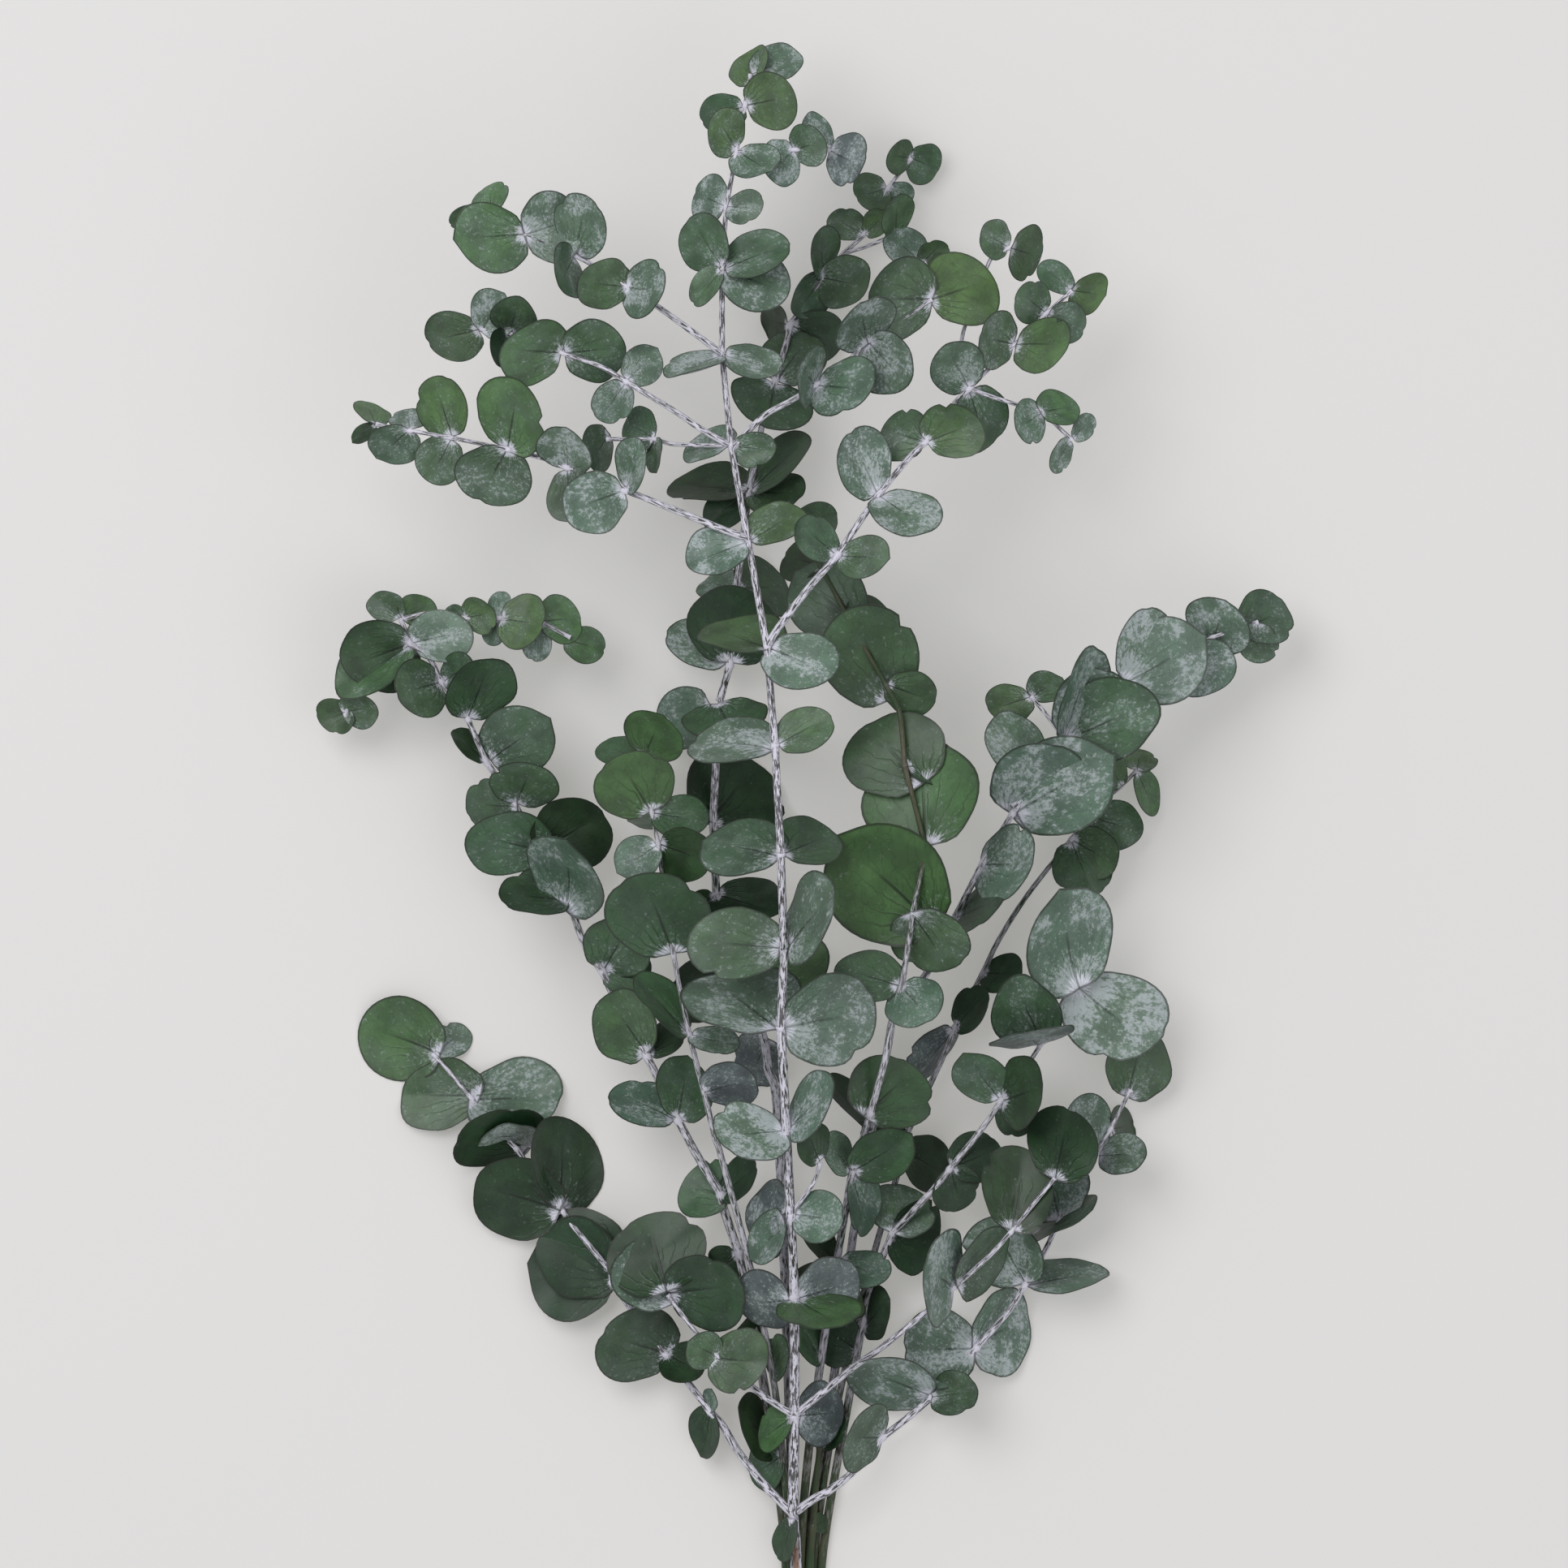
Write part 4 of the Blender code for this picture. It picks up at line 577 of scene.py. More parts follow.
def read_leaves():
    """Every leaf of the bunch, in the layout's order."""
    leaves = []
    for stem, shoots in STEMS.items():
        for number, (foot_radius, tip_radius, rows) in enumerate(shoots):
            points = shoot_points(rows)
            for i, row in enumerate(rows):
                before = points[max(i - 1, 0)]
                after = points[min(i + 1, len(rows) - 1)]
                toward = after - before
                share = i / (len(rows) - 1)
                radius = shoot_radius(foot_radius, tip_radius, share)
                own = []
                for box in row[3:]:
                    middle = place((box[0] + box[2]) / 2, (box[1] + box[3]) / 2, row[2])
                    out = middle - points[i]
                    foot = points[i] + out / np.linalg.norm(out) * radius * SIDE_ATTACHMENT
                    leaf = Leaf(stem, (stem, number), i, foot, toward, box, 0, False)
                    own.append((leaf.covers(points[i:i + 3]), box, foot))
                most = max(own)[0] if own else 0.0
                may_arch = (stem, number) != BARE_SHOOT
                for share, box, foot in own:
                    arched = may_arch and share == most and share > COVERS_STEM
                    if arched:
                        top = np.array([0.0, 0.0, radius * TOP_ATTACHMENT])
                        foot = (foot + points[i]) / 2 + top
                    leaf = Leaf(stem, (stem, number), i, foot, toward, box, len(leaves), arched)
                    leaves.append(leaf)
    return leaves


def ring(radius, count):
    """Points round a ring, as (along, aside)."""
    turns = [2 * math.pi * k / count for k in range(count)]
    return [(radius * math.cos(t), radius * math.sin(t)) for t in turns]


PROBES = [(0.0, 0.0)] + ring(0.55, 6) + ring(1.0, 16)
STATION_STEP = 0.004           # from one tried point of a stem to the next


def stem_stations():
    """Points along the middle of every shoot, and the shoot's radius at each."""
    stations = []
    for shoots in STEMS.values():
        for foot_radius, tip_radius, rows in shoots:
            points = shoot_points(rows)
            for i, (a, b) in enumerate(zip(points[:-1], points[1:])):
                count = max(2, int(np.linalg.norm(b - a) / STATION_STEP))
                for k in range(count):
                    share = (i + k / count) / (len(points) - 1)
                    radius = shoot_radius(foot_radius, tip_radius, share)
                    stations.append((a + (b - a) * k / count, radius))
    rails = np.array([spot for spot, radius in stations])
    girth = np.array([radius for spot, radius in stations])
    return rails, girth


def neighbours(leaves):
    """For each leaf, the leaves near it, whether it lies over each one, and the least gap."""
    pairs = []
    for i, leaf in enumerate(leaves):
        near = []
        for j, other in enumerate(leaves):
            apart = np.linalg.norm(other.foot - leaf.foot)
            sibling = other.stem == leaf.stem and apart < SIBLING_FEET
            if j != i and not sibling and apart < 2 * (leaf.size + other.size) + SEARCH_MARGIN:
                # Within a shoot the leaf nearer the foot lies over the other
                if other.shoot == leaf.shoot:
                    over = 1.0 if other.row < leaf.row else -1.0
                else:
                    over = 1.0 if other.middle[2] > leaf.middle[2] else -1.0
                clearance = LEAF_CLEARANCE if other.stem != leaf.stem else OWN_CLEARANCE
                near.append((j, over, clearance))
        pairs.append(near)
    return pairs


def bend_clear(leaves):
    """Swing and roll leaves about their feet until they are clear of each other."""
    pattern = np.array(PROBES)
    rails, girth = stem_stations()
    beside = []
    for leaf in leaves:
        apart = np.linalg.norm(rails - leaf.foot, axis=1)
        within = apart < 2.3 * leaf.size + SEARCH_MARGIN
        beside.append(np.nonzero((apart > ROOT_REACH) & within)[0])
    pairs = neighbours(leaves)
    for _ in range(ROUNDS):
        clouds = [leaf.cloud(pattern) for leaf in leaves]
        for leaf in leaves:
            leaf.rest()
        worst = 0.0
        for i, leaf in enumerate(leaves):
            frame = np.array([leaf.long / (leaf.long @ leaf.long),
                              leaf.wide / (leaf.wide @ leaf.wide), leaf.up])
            level = 1.0 if leaf.up[2] >= 0 else -1.0
            for j, over, clearance in pairs[i]:
                other = leaves[j]
                apart = other.middle - leaf.middle
                if apart @ apart > (leaf.size + other.size + SEARCH_MARGIN) ** 2:
                    continue
                local = (clouds[j] - leaf.middle) @ frame.T
                inside = np.nonzero((local[:, 0] ** 2 + local[:, 1] ** 2) < NEAR_RIM)[0]
                if not len(inside):
                    continue
                high = (local[inside, 2] - leaf.bulge(local[inside])) * level * over
                least = high.argmin()
                want = clearance - high[least]
                if want <= 0 or want > DEEPEST_CROSSING:
                    continue
                if other.stem != leaf.stem:
                    worst = max(worst, want)
                spot = clouds[j][inside[least]]
                leaf.nudge(spot, -over * want / 2)
                other.nudge(spot, over * want / 2)
            around = beside[i]
            local = (rails[around] - leaf.middle) @ frame.T
            gap = (local[:, 2] - leaf.bulge(local)) * level
            want = girth[around] + STEM_CLEARANCE - np.abs(gap)
            want[(local[:, 0] ** 2 + local[:, 1] ** 2) > NEAR_RIM] = 0.0
            if len(around) and want.max() > 0:
                k = want.argmax()
                leaf.nudge(rails[around[k]], -want[k] if gap[k] > 0 else want[k])
                worst = max(worst, want[k])
            lowest = clouds[i][:, 2].argmin()
            sunk = clouds[i][lowest, 2]
            if sunk < -FLOOR_SINK:
                leaf.nudge(clouds[i][lowest], -FLOOR_SINK - sunk)
        for leaf in leaves:
            leaf.settle()
        if worst < SETTLED:
            break
    return leaves


# Fine leaves
BLADE_THICKNESS = 0.0004       # finer than the solids' leaves
ROUND_STEPS = 36               # points round a blade's rim
BLADE_RINGS = [0.0, 0.3, 0.56, 0.78, 0.93, 1.0]
FOLD_DEPTH = 0.05              # the groove along the midrib, as a share of the leaf's size
FLOOR_LIFT = 0.0001            # least height of a leaf over the surface that it lies on

# The bumps on the rim of each form of blade: height, angle from the foot and width
HEART_FOOT = [(0.085, 0.48, 0.27), (0.085, -0.48, 0.27)]
BLADE_FORMS = {
    "round": [],
    "pointed": [(0.09, math.pi, 0.16)],
    "notched": [(-0.07, math.pi, 0.13)],
    "bitten": [(-0.13, 2.1, 0.17), (-0.04, -2.6, 0.12)],
    "waved": [],
    "egg_shaped": [(0.05, math.pi, 0.5), (-0.04, 2.3, 0.4), (-0.04, -2.3, 0.4)],
    "torn": [(-0.16, -1.9, 0.085), (-0.03, 1.3, 0.15)],
    "lobed": [(0.04, 1.2, 0.4), (-0.03, -1.0, 0.3), (-0.05, 2.9, 0.12)],
}
RIM_WAVE = 0.025               # height of the waves on the rim of a waved blade

DEEP_GREEN = (0.012, 0.035, 0.011)
MIDDLE_GREEN = (0.026, 0.064, 0.020)
BRIGHT_GREEN = (0.044, 0.096, 0.025)
GREY_GREEN = (0.040, 0.084, 0.041)
BLUE_GREY = (0.042, 0.060, 0.058)
DULL_VIOLET = (0.044, 0.048, 0.062)
VEIL = (0.180, 0.242, 0.214)
POWDER = (0.44, 0.48, 0.495)
FOOT_WHITE = (0.62, 0.62, 0.70)
BROWN_SPECK = (0.085, 0.050, 0.030)
DARK_RIM = (0.020, 0.022, 0.016)

# The colour of each kind of leaf: upper side, underside, strength of the white bloom
LEAF_LOOKS = {
    "d": (DEEP_GREEN, BLUE_GREY, 0.06),
    "m": (MIDDLE_GREEN, BLUE_GREY, 0.28),
    "g": (BRIGHT_GREEN, GREY_GREEN, 0.22),
    "s": (GREY_GREEN, BLUE_GREY, 0.62),
    "p": (GREY_GREEN, DULL_VIOLET, 0.55),
}

# How much more bloom than usual each stem's leaves have, and how strong it is on its bark
BLOOM = {
    "front_stem": (0.06, 1.0),
    "back_stem": (-0.04, 0.9),
    "left_arching_stem": (0.0, 0.85),
    "left_inner_stem": (-0.05, 0.75),
    "right_centre_stem": (-0.08, 0.8),
    "right_arching_stem": (0.14, 0.95),
    "right_slim_stem": (0.02, 0.7),
    "right_outer_stem": (0.10, 0.85),
    "short_green_stem": (-0.15, 0.1),
}
SILVERY_STEMS = ["right_arching_stem", "right_outer_stem"]


class Formula:
    """The output of a node, that can be calculated with, so a node tree reads as a formula."""

    def __init__(self, tree, socket):
        self.tree = tree
        self.socket = socket

    def math(self, operation, *values):
        return add_node(self.tree, "ShaderNodeMath", dict(enumerate([self, *values])),
                        operation=operation)

    def vector(self, operation, *values):
        return add_node(self.tree, "ShaderNodeVectorMath", dict(enumerate([self, *values])),
                        operation=operation)

    def __add__(self, other):
        return self.math("ADD", other)

    def __sub__(self, other):
        return self.math("SUBTRACT", other)

    def __mul__(self, other):
        return self.math("MULTIPLY", other)

    def stretched(self, amount):
        """This vector, times a number."""
        return add_node(self.tree, "ShaderNodeVectorMath", {0: self, 3: amount},
                        operation="SCALE")

    def parts(self):
        """The three numbers of this vector."""
        node = self.tree.nodes.new("ShaderNodeSeparateXYZ")
        self.tree.links.new(self.socket, node.inputs[0])
        return [Formula(self.tree, out) for out in node.outputs]

    def between(self, low, high):
        """0 below low, 1 above high, and smooth between."""
        return add_node(self.tree, "ShaderNodeMapRange",
                        {0: self, 1: low, 2: high, 3: 0.0, 4: 1.0},
                        interpolation_type="SMOOTHSTEP")

    def mixed(self, first, second):
        """The first colour where this is 0 and the second where it is 1."""
        return add_node(self.tree, "ShaderNodeMix", {0: self, 6: first, 7: second}, output=2,
                        data_type="RGBA")


def add_node(tree, kind, inputs, output=0, **settings):
    """Adds one node, links or sets its inputs, and gives its output."""
    node = tree.nodes.new(kind)
    for name, value in settings.items():
        setattr(node, name, value)
    for key, value in inputs.items():
        if isinstance(value, Formula):
            tree.links.new(value.socket, node.inputs[key])
        elif node.inputs[key].type == "RGBA" and len(value) == 3:
            node.inputs[key].default_value = (*value, 1.0)
        else:
            node.inputs[key].default_value = value
    return Formula(tree, node.outputs[output])


def join(tree, x, y, z):
    """A vector of three numbers."""
    return add_node(tree, "ShaderNodeCombineXYZ", {0: x, 1: y, 2: z})


def sum_of(*vectors):
    """The sum of vectors."""
    total = vectors[0]
    for vector in vectors[1:]:
        total = total.vector("ADD", vector)
    return total


def stored(tree, name, kind="FLOAT_VECTOR"):
    """A geometry tree's named attribute."""
    return add_node(tree, "GeometryNodeInputNamedAttribute", {"Name": name}, data_type=kind)


def keep(tree, geometry, name, value, kind="FLOAT_VECTOR"):
    """The geometry, with a value kept in a named attribute."""
    return add_node(tree, "GeometryNodeStoreNamedAttribute",
                    {0: geometry, 2: name, 3: value}, data_type=kind)


def read(tree, name, part="Vector"):
    """A material's named attribute."""
    return add_node(tree, "ShaderNodeAttribute", {}, output=part, attribute_name=name)


def new_tree(name, inputs):
    """A geometry tree with named inputs, and those inputs by name."""
    tree = bpy.data.node_groups.new(name, "GeometryNodeTree")
    tree.interface.new_socket("Geometry", in_out="INPUT", socket_type="NodeSocketGeometry")
    for title, kind in inputs:
        tree.interface.new_socket(title, in_out="INPUT", socket_type=kind)
    tree.interface.new_socket("Geometry", in_out="OUTPUT", socket_type="NodeSocketGeometry")
    source = tree.nodes.new("NodeGroupInput")
    given = {out.name: Formula(tree, out) for out in source.outputs if out.name}
    return tree, given


def close_tree(tree, geometry, finish):
    """Ends a tree in Realize Instances and Set Material."""
    real = add_node(tree, "GeometryNodeRealizeInstances", {0: geometry})
    real = add_node(tree, "GeometryNodeSetMaterial", {0: real, 2: finish})
    sink = tree.nodes.new("NodeGroupOutput")
    tree.links.new(real.socket, sink.inputs[0])


def grown(name, seedling, tree, values):
    """A plain mesh object that the tree makes from the seedling mesh."""
    made = bpy.data.objects.new(name, seedling)
    bpy.context.scene.collection.objects.link(made)
    modifier = made.modifiers.new("grow", "NODES")
    modifier.node_group = tree
    for item in tree.interface.items_tree:
        if item.name in values and item.in_out == "INPUT":
            modifier[item.identifier] = values[item.name]
    made.update_tag()
    view = bpy.context.evaluated_depsgraph_get()
    result = bpy.data.meshes.new_from_object(made.evaluated_get(view), depsgraph=view)
    made.modifiers.clear()
    made.data = result
    result.name = name
    return made


def point_cloud(name, columns):
    """A mesh of loose points at the origin, each with the values in the columns."""
    count = len(next(iter(columns.values()))[1])
    mesh = bpy.data.meshes.new(name)
    mesh.from_pydata([(0, 0, 0)] * count, [], [])
    fill_columns(mesh, columns)
    return mesh


def fill_columns(mesh, columns):
    """Gives each point of a mesh its values."""
    for title, (kind, values) in columns.items():
        column = mesh.attributes.new(title, kind, "POINT")
        field = "vector" if kind == "FLOAT_VECTOR" else "value"
        column.data.foreach_set(field, np.array(values).ravel())


def wobble(t, centre, width):
    """A smooth bump of height 1 at angle centre."""
    off = (t - centre + math.pi) % (2 * math.pi) - math.pi
    return math.exp(-(off / width) ** 2)


def rim_reach(form, t):
    """How far the rim of a form stands from the outline's round, at angle t from the foot."""
    reach = 1.0
    for height, centre, width in HEART_FOOT + BLADE_FORMS[form]:
        reach += height * wobble(t, centre, width)
    if form == "waved":
        reach += RIM_WAVE * math.sin(5 * t + 0.6)
    return reach


def blade_master(form, order):
    """One flat blade: x along it, y aside, and z = 1 on its upper and -1 on its lower side."""
    points = []
    shares = []
    faces = []
    for side in (1.0, -1.0):
        first = len(points)
        points.append((0.0, 0.0, side))
        shares.append(0.0)
        for share in BLADE_RINGS[1:]:
            for k in range(ROUND_STEPS):
                t = 2 * math.pi * k / ROUND_STEPS
                reach = share * rim_reach(form, t if t <= math.pi else t - 2 * math.pi)
                points.append((-math.cos(t) * reach, math.sin(t) * reach, side))
                shares.append(share)
        for k in range(ROUND_STEPS):
            n = (k + 1) % ROUND_STEPS
            faces.append([first, first + 1 + k, first + 1 + n][::-int(side)])
            for level in range(len(BLADE_RINGS) - 2):
                near = first + 1 + level * ROUND_STEPS
                far = near + ROUND_STEPS
                faces.append([near + k, far + k, far + n, near + n][::-int(side)])
    rim = len(points) // 2 - ROUND_STEPS
    under = len(points) - ROUND_STEPS
    for k in range(ROUND_STEPS):
        n = (k + 1) % ROUND_STEPS
        faces.append([rim + k, under + k, under + n, rim + n])
    mesh = bpy.data.meshes.new(f"blade_{form}")
    mesh.from_pydata(points, [], faces)
    mesh.update()
    column = mesh.attributes.new("rim", "FLOAT", "POINT")
    column.data.foreach_set("value", shares)
    sharp = mesh.attributes.new("sharp_edge", "BOOLEAN", "EDGE")
    on_rim = set(range(rim, rim + ROUND_STEPS)) | set(range(under, under + ROUND_STEPS))
    sharp.data.foreach_set("value", [edge.vertices[0] in on_rim and edge.vertices[1] in on_rim
                                     for edge in mesh.edges])
    mesh.shade_smooth()
    return bpy.data.objects.new(f"{order}_{form}", mesh)


def leaf_tree():
    """Sets a blade at each point, then cups, folds and curls it as the point's values say."""
    tree, given = new_tree("leaves of a stem", [
        ("Blades", "NodeSocketCollection"),
        ("Blade Thickness", "NodeSocketFloat"),
        ("Fold Depth", "NodeSocketFloat"),
        ("Floor Lift", "NodeSocketFloat"),
        ("Finish", "NodeSocketMaterial"),
    ])
    blades = add_node(tree, "GeometryNodeCollectionInfo",
                      {0: given["Blades"], 1: True, 2: True})
    leaves = add_node(tree, "GeometryNodeInstanceOnPoints",
                      {0: given["Geometry"], 2: blades, 3: True, 4: stored(tree, "form", "INT")})
    leaves = add_node(tree, "GeometryNodeRealizeInstances", {0: leaves})
    spot = add_node(tree, "GeometryNodeInputPosition", {})
    leaves = keep(tree, leaves, "blade", spot)
    along, aside, side = stored(tree, "blade").parts()
    m, n, size = stored(tree, "rib").parts()
    dish, curve, seed = stored(tree, "habit").parts()
    curl, toward, ripple = stored(tree, "curl").parts()
    rim = stored(tree, "rim", "FLOAT")
    angle = aside.math("ARCTAN2", along)
    high = dish * aside * aside + curve * (along + 1.0) * (along + 1.0) * 0.25
    beside = aside.math("ABSOLUTE")
    fold = (beside * -9.0).math("EXPONENT") * (along * -0.4 + 0.7)
    high = high - fold * given["Fold Depth"]
    turned = (angle - toward).math("COSINE").math("MAXIMUM", 0.0)
    high = high + turned * turned * rim * rim * rim * curl
    small_waves = (angle * 7.0 + seed * 23.0).math("SINE") * 0.6
    waves = (angle * 4.0 + seed * 40.0).math("SINE") + small_waves
    high = high + waves * rim * rim * ripple
    high = high * size + side * given["Blade Thickness"] * 0.5
    moved = sum_of(
        stored(tree, "middle"),
        stored(tree, "long").stretched(along * m - aside * n),
        stored(tree, "wide").stretched(along * n + aside * m),
        stored(tree, "up").stretched(high),
    )
    x, y, z = moved.parts()
    upper = (stored(tree, "level", "FLOAT") * side + 1.0) * 0.5
    lowest = given["Floor Lift"] + upper * given["Blade Thickness"]
    moved = join(tree, x, y, z.math("MAXIMUM", lowest))
    leaves = add_node(tree, "GeometryNodeSetPosition", {0: leaves, 2: moved})
    close_tree(tree, leaves, given["Finish"])
    return tree


# Leaves deep in the bunch, where its stems run close together. Each one is (stem, where its
# foot is along the stem, and the box and kind of the leaf), in the layout's units.
DEEP_LEAVES = [
    ("right_centre_stem", 1560, (984, 1506, 1034, 1562, "d")),
    ("right_centre_stem", 1680, (978, 1620, 1014, 1686, "m")),
    ("right_outer_stem", 1670, (1010, 1622, 1062, 1694, "d")),
    ("right_outer_stem", 1640, (1062, 1586, 1100, 1656, "d")),
    ("left_inner_stem", 1700, (944, 1646, 974, 1704, "m")),
    ("left_arching_stem", 1690, (898, 1624, 940, 1706, "d")),
    ("left_arching_stem", 1790, (906, 1720, 953, 1806, "d")),
    ("left_inner_stem", 1800, (922, 1784, 966, 1850, "m")),
    ("right_outer_stem", 1442, (1150, 1438, 1208, 1496, "d")),
    ("right_slim_stem", 1421, (1114, 1402, 1176, 1474, "d")),
    ("left_arching_stem", 1474, (888, 1426, 936, 1486, "d")),
    ("left_inner_stem", 1345, (864, 1302, 936, 1366, "p")),
    ("right_arching_stem", 1390, (1016, 1326, 1076, 1394, "d")),
    ("back_stem", 1620, (966, 1560, 1016, 1624, "d")),
]


def deep_leaves(order):
    """The deep leaves, nearly level, each at its own stem's height."""
    leaves = []
    for stem, along, box in DEEP_LEAVES:
        rows = STEMS[stem][0][2]
        down = [-row[1] for row in rows]
        across = np.interp(-along, down, [row[0] for row in rows])
        height = np.interp(-along, down, [row[2] for row in rows])
        foot = place(across, along, height)
        toward = np.array([0.0, 1.0, 0.1])
        leaves.append(Leaf(stem, (stem, 0), 0, foot, toward, box, order + len(leaves), False))
    return leaves


def leaf_values(leaves):
    """What the leaf tree reads for each leaf."""
    draw = random.Random(11)
    rows = []
    for leaf in leaves:
        upper, under, bloom = LEAF_LOOKS[leaf.kind]
        tone = draw.uniform(0.82, 1.22)
        warm = draw.uniform(-0.12, 0.12)
        upper = np.array(upper) * tone * np.array([1.0 + warm, 1.0, 1.0 - warm])
        under = np.array(under) * draw.uniform(0.85, 1.18)
        bloom = min(max(bloom + BLOOM[leaf.stem][0] + draw.uniform(-0.12, 0.12), 0.0), 1.0)
        curl = draw.choice([0.0, 0.08, 0.16, 0.26, -0.12])
        rows.append((
            draw.randrange(len(BLADE_FORMS)), leaf.middle, leaf.long, leaf.wide, leaf.up,
            (leaf.rib[0], leaf.rib[1], leaf.size), (leaf.dish, leaf.curve, draw.random()),
            (curl, draw.uniform(-math.pi, math.pi), draw.uniform(0.006, 0.024)),
            upper, under, bloom, 1.0 if leaf.up[2] >= 0 else -1.0,
        ))
    names = ["form", "middle", "long", "wide", "up", "rib", "habit", "curl", "upper", "under",
             "bloom", "level"]
    kinds = ["INT"] + ["FLOAT_VECTOR"] * 9 + ["FLOAT"] * 2
    return {name: (kind, [row[i] for row in rows])
            for i, (name, kind) in enumerate(zip(names, kinds))}


def noise(tree, spot, scale, detail=2.0, roughness=0.5):
    """Soft noise, mostly from 0.3 to 0.7."""
    return add_node(tree, "ShaderNodeTexNoise",
                    {"Vector": spot, "Scale": scale, "Detail": detail, "Roughness": roughness})


def new_material(name):
    """A material, its tree and its shader."""
    made = bpy.data.materials.new(name)
    made.use_nodes = True
    return made, made.node_tree, made.node_tree.nodes["Principled BSDF"]


def set_inputs(node, values):
    """Sets a node's inputs by name."""
    for name, value in values.items():
        node.inputs[name].default_value = value


def set_bump(tree, shader, height, strength, distance):
    """Lets the light show a height that the mesh doesn't have."""
    bump = add_node(tree, "ShaderNodeBump",
                    {"Strength": strength, "Distance": distance, "Height": height})
    tree.links.new(bump.socket, shader.inputs["Normal"])


def leaf_material(name, gloss):
    """A leathery blade: dark veins, patches and scratches of white bloom, brown specks."""
    made, tree, shader = new_material(name)
    along, aside, side = read(tree, "blade").parts()
    seed = read(tree, "habit").parts()[2]
    rim = read(tree, "rim", "Fac")
    bloom = read(tree, "bloom", "Fac")
    ahead = along + 1.06
    reach = (ahead * ahead + aside * aside).math("SQRT") * 0.5
    angle = aside.math("ARCTAN2", ahead)
    beneath = side.between(0.2, -0.2)
    colour = beneath.mixed(read(tree, "upper"), read(tree, "under"))

    # Lighter and darker clouds across each blade: partly the leaf's own mottling, partly painted
    # shade and light that stand in for the shading of the curved blade
    spot = join(tree, along + seed * 31.0, aside, seed * 17.0)
    cloud = noise(tree, spot, 1.5, 3.0).between(0.3, 0.7)
    colour = cloud.mixed(colour.stretched(0.72), colour.stretched(1.35))

    # Dark veins that leave the foot, bend outward and fork, and the midrib
    bend = noise(tree, spot, 2.0, 3.0)
    bent = angle * 3.2 + reach * angle * 1.8 + bend * 1.6
    off = (bent - bent.math("ROUND")).math("ABSOLUTE") * reach
    veins = off.between(0.050, 0.008) * reach.between(1.05, 0.25) * cloud
    fork = add_node(tree, "ShaderNodeTexVoronoi",
                    {"Vector": sum_of(spot, join(tree, bend, bend, 0.0)), "Scale": 4.2},
                    feature="DISTANCE_TO_EDGE")
    forks = fork.between(0.045, 0.0)
    midrib = aside.math("ABSOLUTE").between(0.040, 0.012) * ahead.between(1.65, 0.7)
    ridges = (veins * 0.75).math("MAXIMUM", midrib)
    lines = (forks * 0.35).math("MAXIMUM", ridges)
    colour = (lines * 0.88).mixed(colour, colour.stretched(0.16))

    # Bloom: a thin veil in patches, short scratches, fine powder, and a star at the foot
    patch = noise(tree, join(tree, along, aside + seed * 43.0, seed * 7.0), 1.3, 2.0)
    patch = patch.between(0.34, 0.66)
    fine = noise(tree, spot, 11.0, 2.0, 0.7)
    veil = bloom * (patch * 0.5 + fine * 0.5 + 0.25) * 0.86
    colour = (veil * (lines * -0.55 + 1.0)).mixed(colour, VEIL)
    ray = join(tree, angle * 4.4 + seed * 19.0, reach * 5.0, seed * 11.0)
    scratch = noise(tree, ray, 2.7, 4.0, 0.68)
    powder = noise(tree, spot, 12.0, 3.0, 0.78)
    amount = bloom * (patch + 0.35) * 0.17 + reach.between(0.55, 0.0) * 0.10
    white = (scratch * 0.5 + powder * 0.5 + amount).between(0.585, 0.73)
    white = white * (bloom * 0.62 + 0.22) * (lines * -0.5 + 1.0)
    colour = white.mixed(colour, POWDER)
    star = (scratch * 1.3 + reach.between(0.30, 0.0)).between(1.02, 1.36)
    colour = (star * (lines * -0.8 + 0.95)).mixed(colour, FOOT_WHITE)

    # Small brown specks, and a thin dark rim
    specks = add_node(tree, "ShaderNodeTexVoronoi", {"Vector": spot, "Scale": 5.5}, feature="F1")
    speck = specks.between(0.075, 0.04) * noise(tree, spot, 1.1).between(0.54, 0.64)
    colour = (speck * 0.6).mixed(colour, BROWN_SPECK)
    edge = (rim + powder * 0.03).between(0.960, 0.995)
    colour = (edge * 0.75).mixed(colour, DARK_RIM)
    tree.links.new(colour.socket, shader.inputs["Base Color"])
    roughness = (white * 0.3 + gloss).math("MINIMUM", 0.85)
    tree.links.new(roughness.socket, shader.inputs["Roughness"])
    set_bump(tree, shader, ridges * -1.0, 0.35, 0.0006)
    set_inputs(shader, {"Specular IOR Level": 0.34})
    return made


# Fine stems
COLLAR_REACH = 0.0026          # half the length of the swelling where leaves stand
COLLAR_SWELL = 0.28            # how much thicker the stem is there
BARK_STEP = 0.0016             # length of one step along a fine stem
SHADED_FEET = (1640, 1860)       # where the bloom fades out towards the feet of the stems behind, as painted shade that lets them show dark
BARE_TIPS = {"right_centre_stem": 1100}   # the stem that is plain green on its largest leaves
BARE_AND_SHADED_POWDER = 0.08             # what is left of the bloom where a stem is bare, and at the feet of the stems behind, where the fade is painted shade
BARK_SIDES = 10
GREEN_BARK = (0.030, 0.056, 0.024)
BROWN_BARK = (0.080, 0.070, 0.042)
LILAC_WHITE = (0.62, 0.60, 0.68)
BLACK_STREAK = (0.024, 0.025, 0.020)
BROWN_CORE = (0.21, 0.105, 0.042)


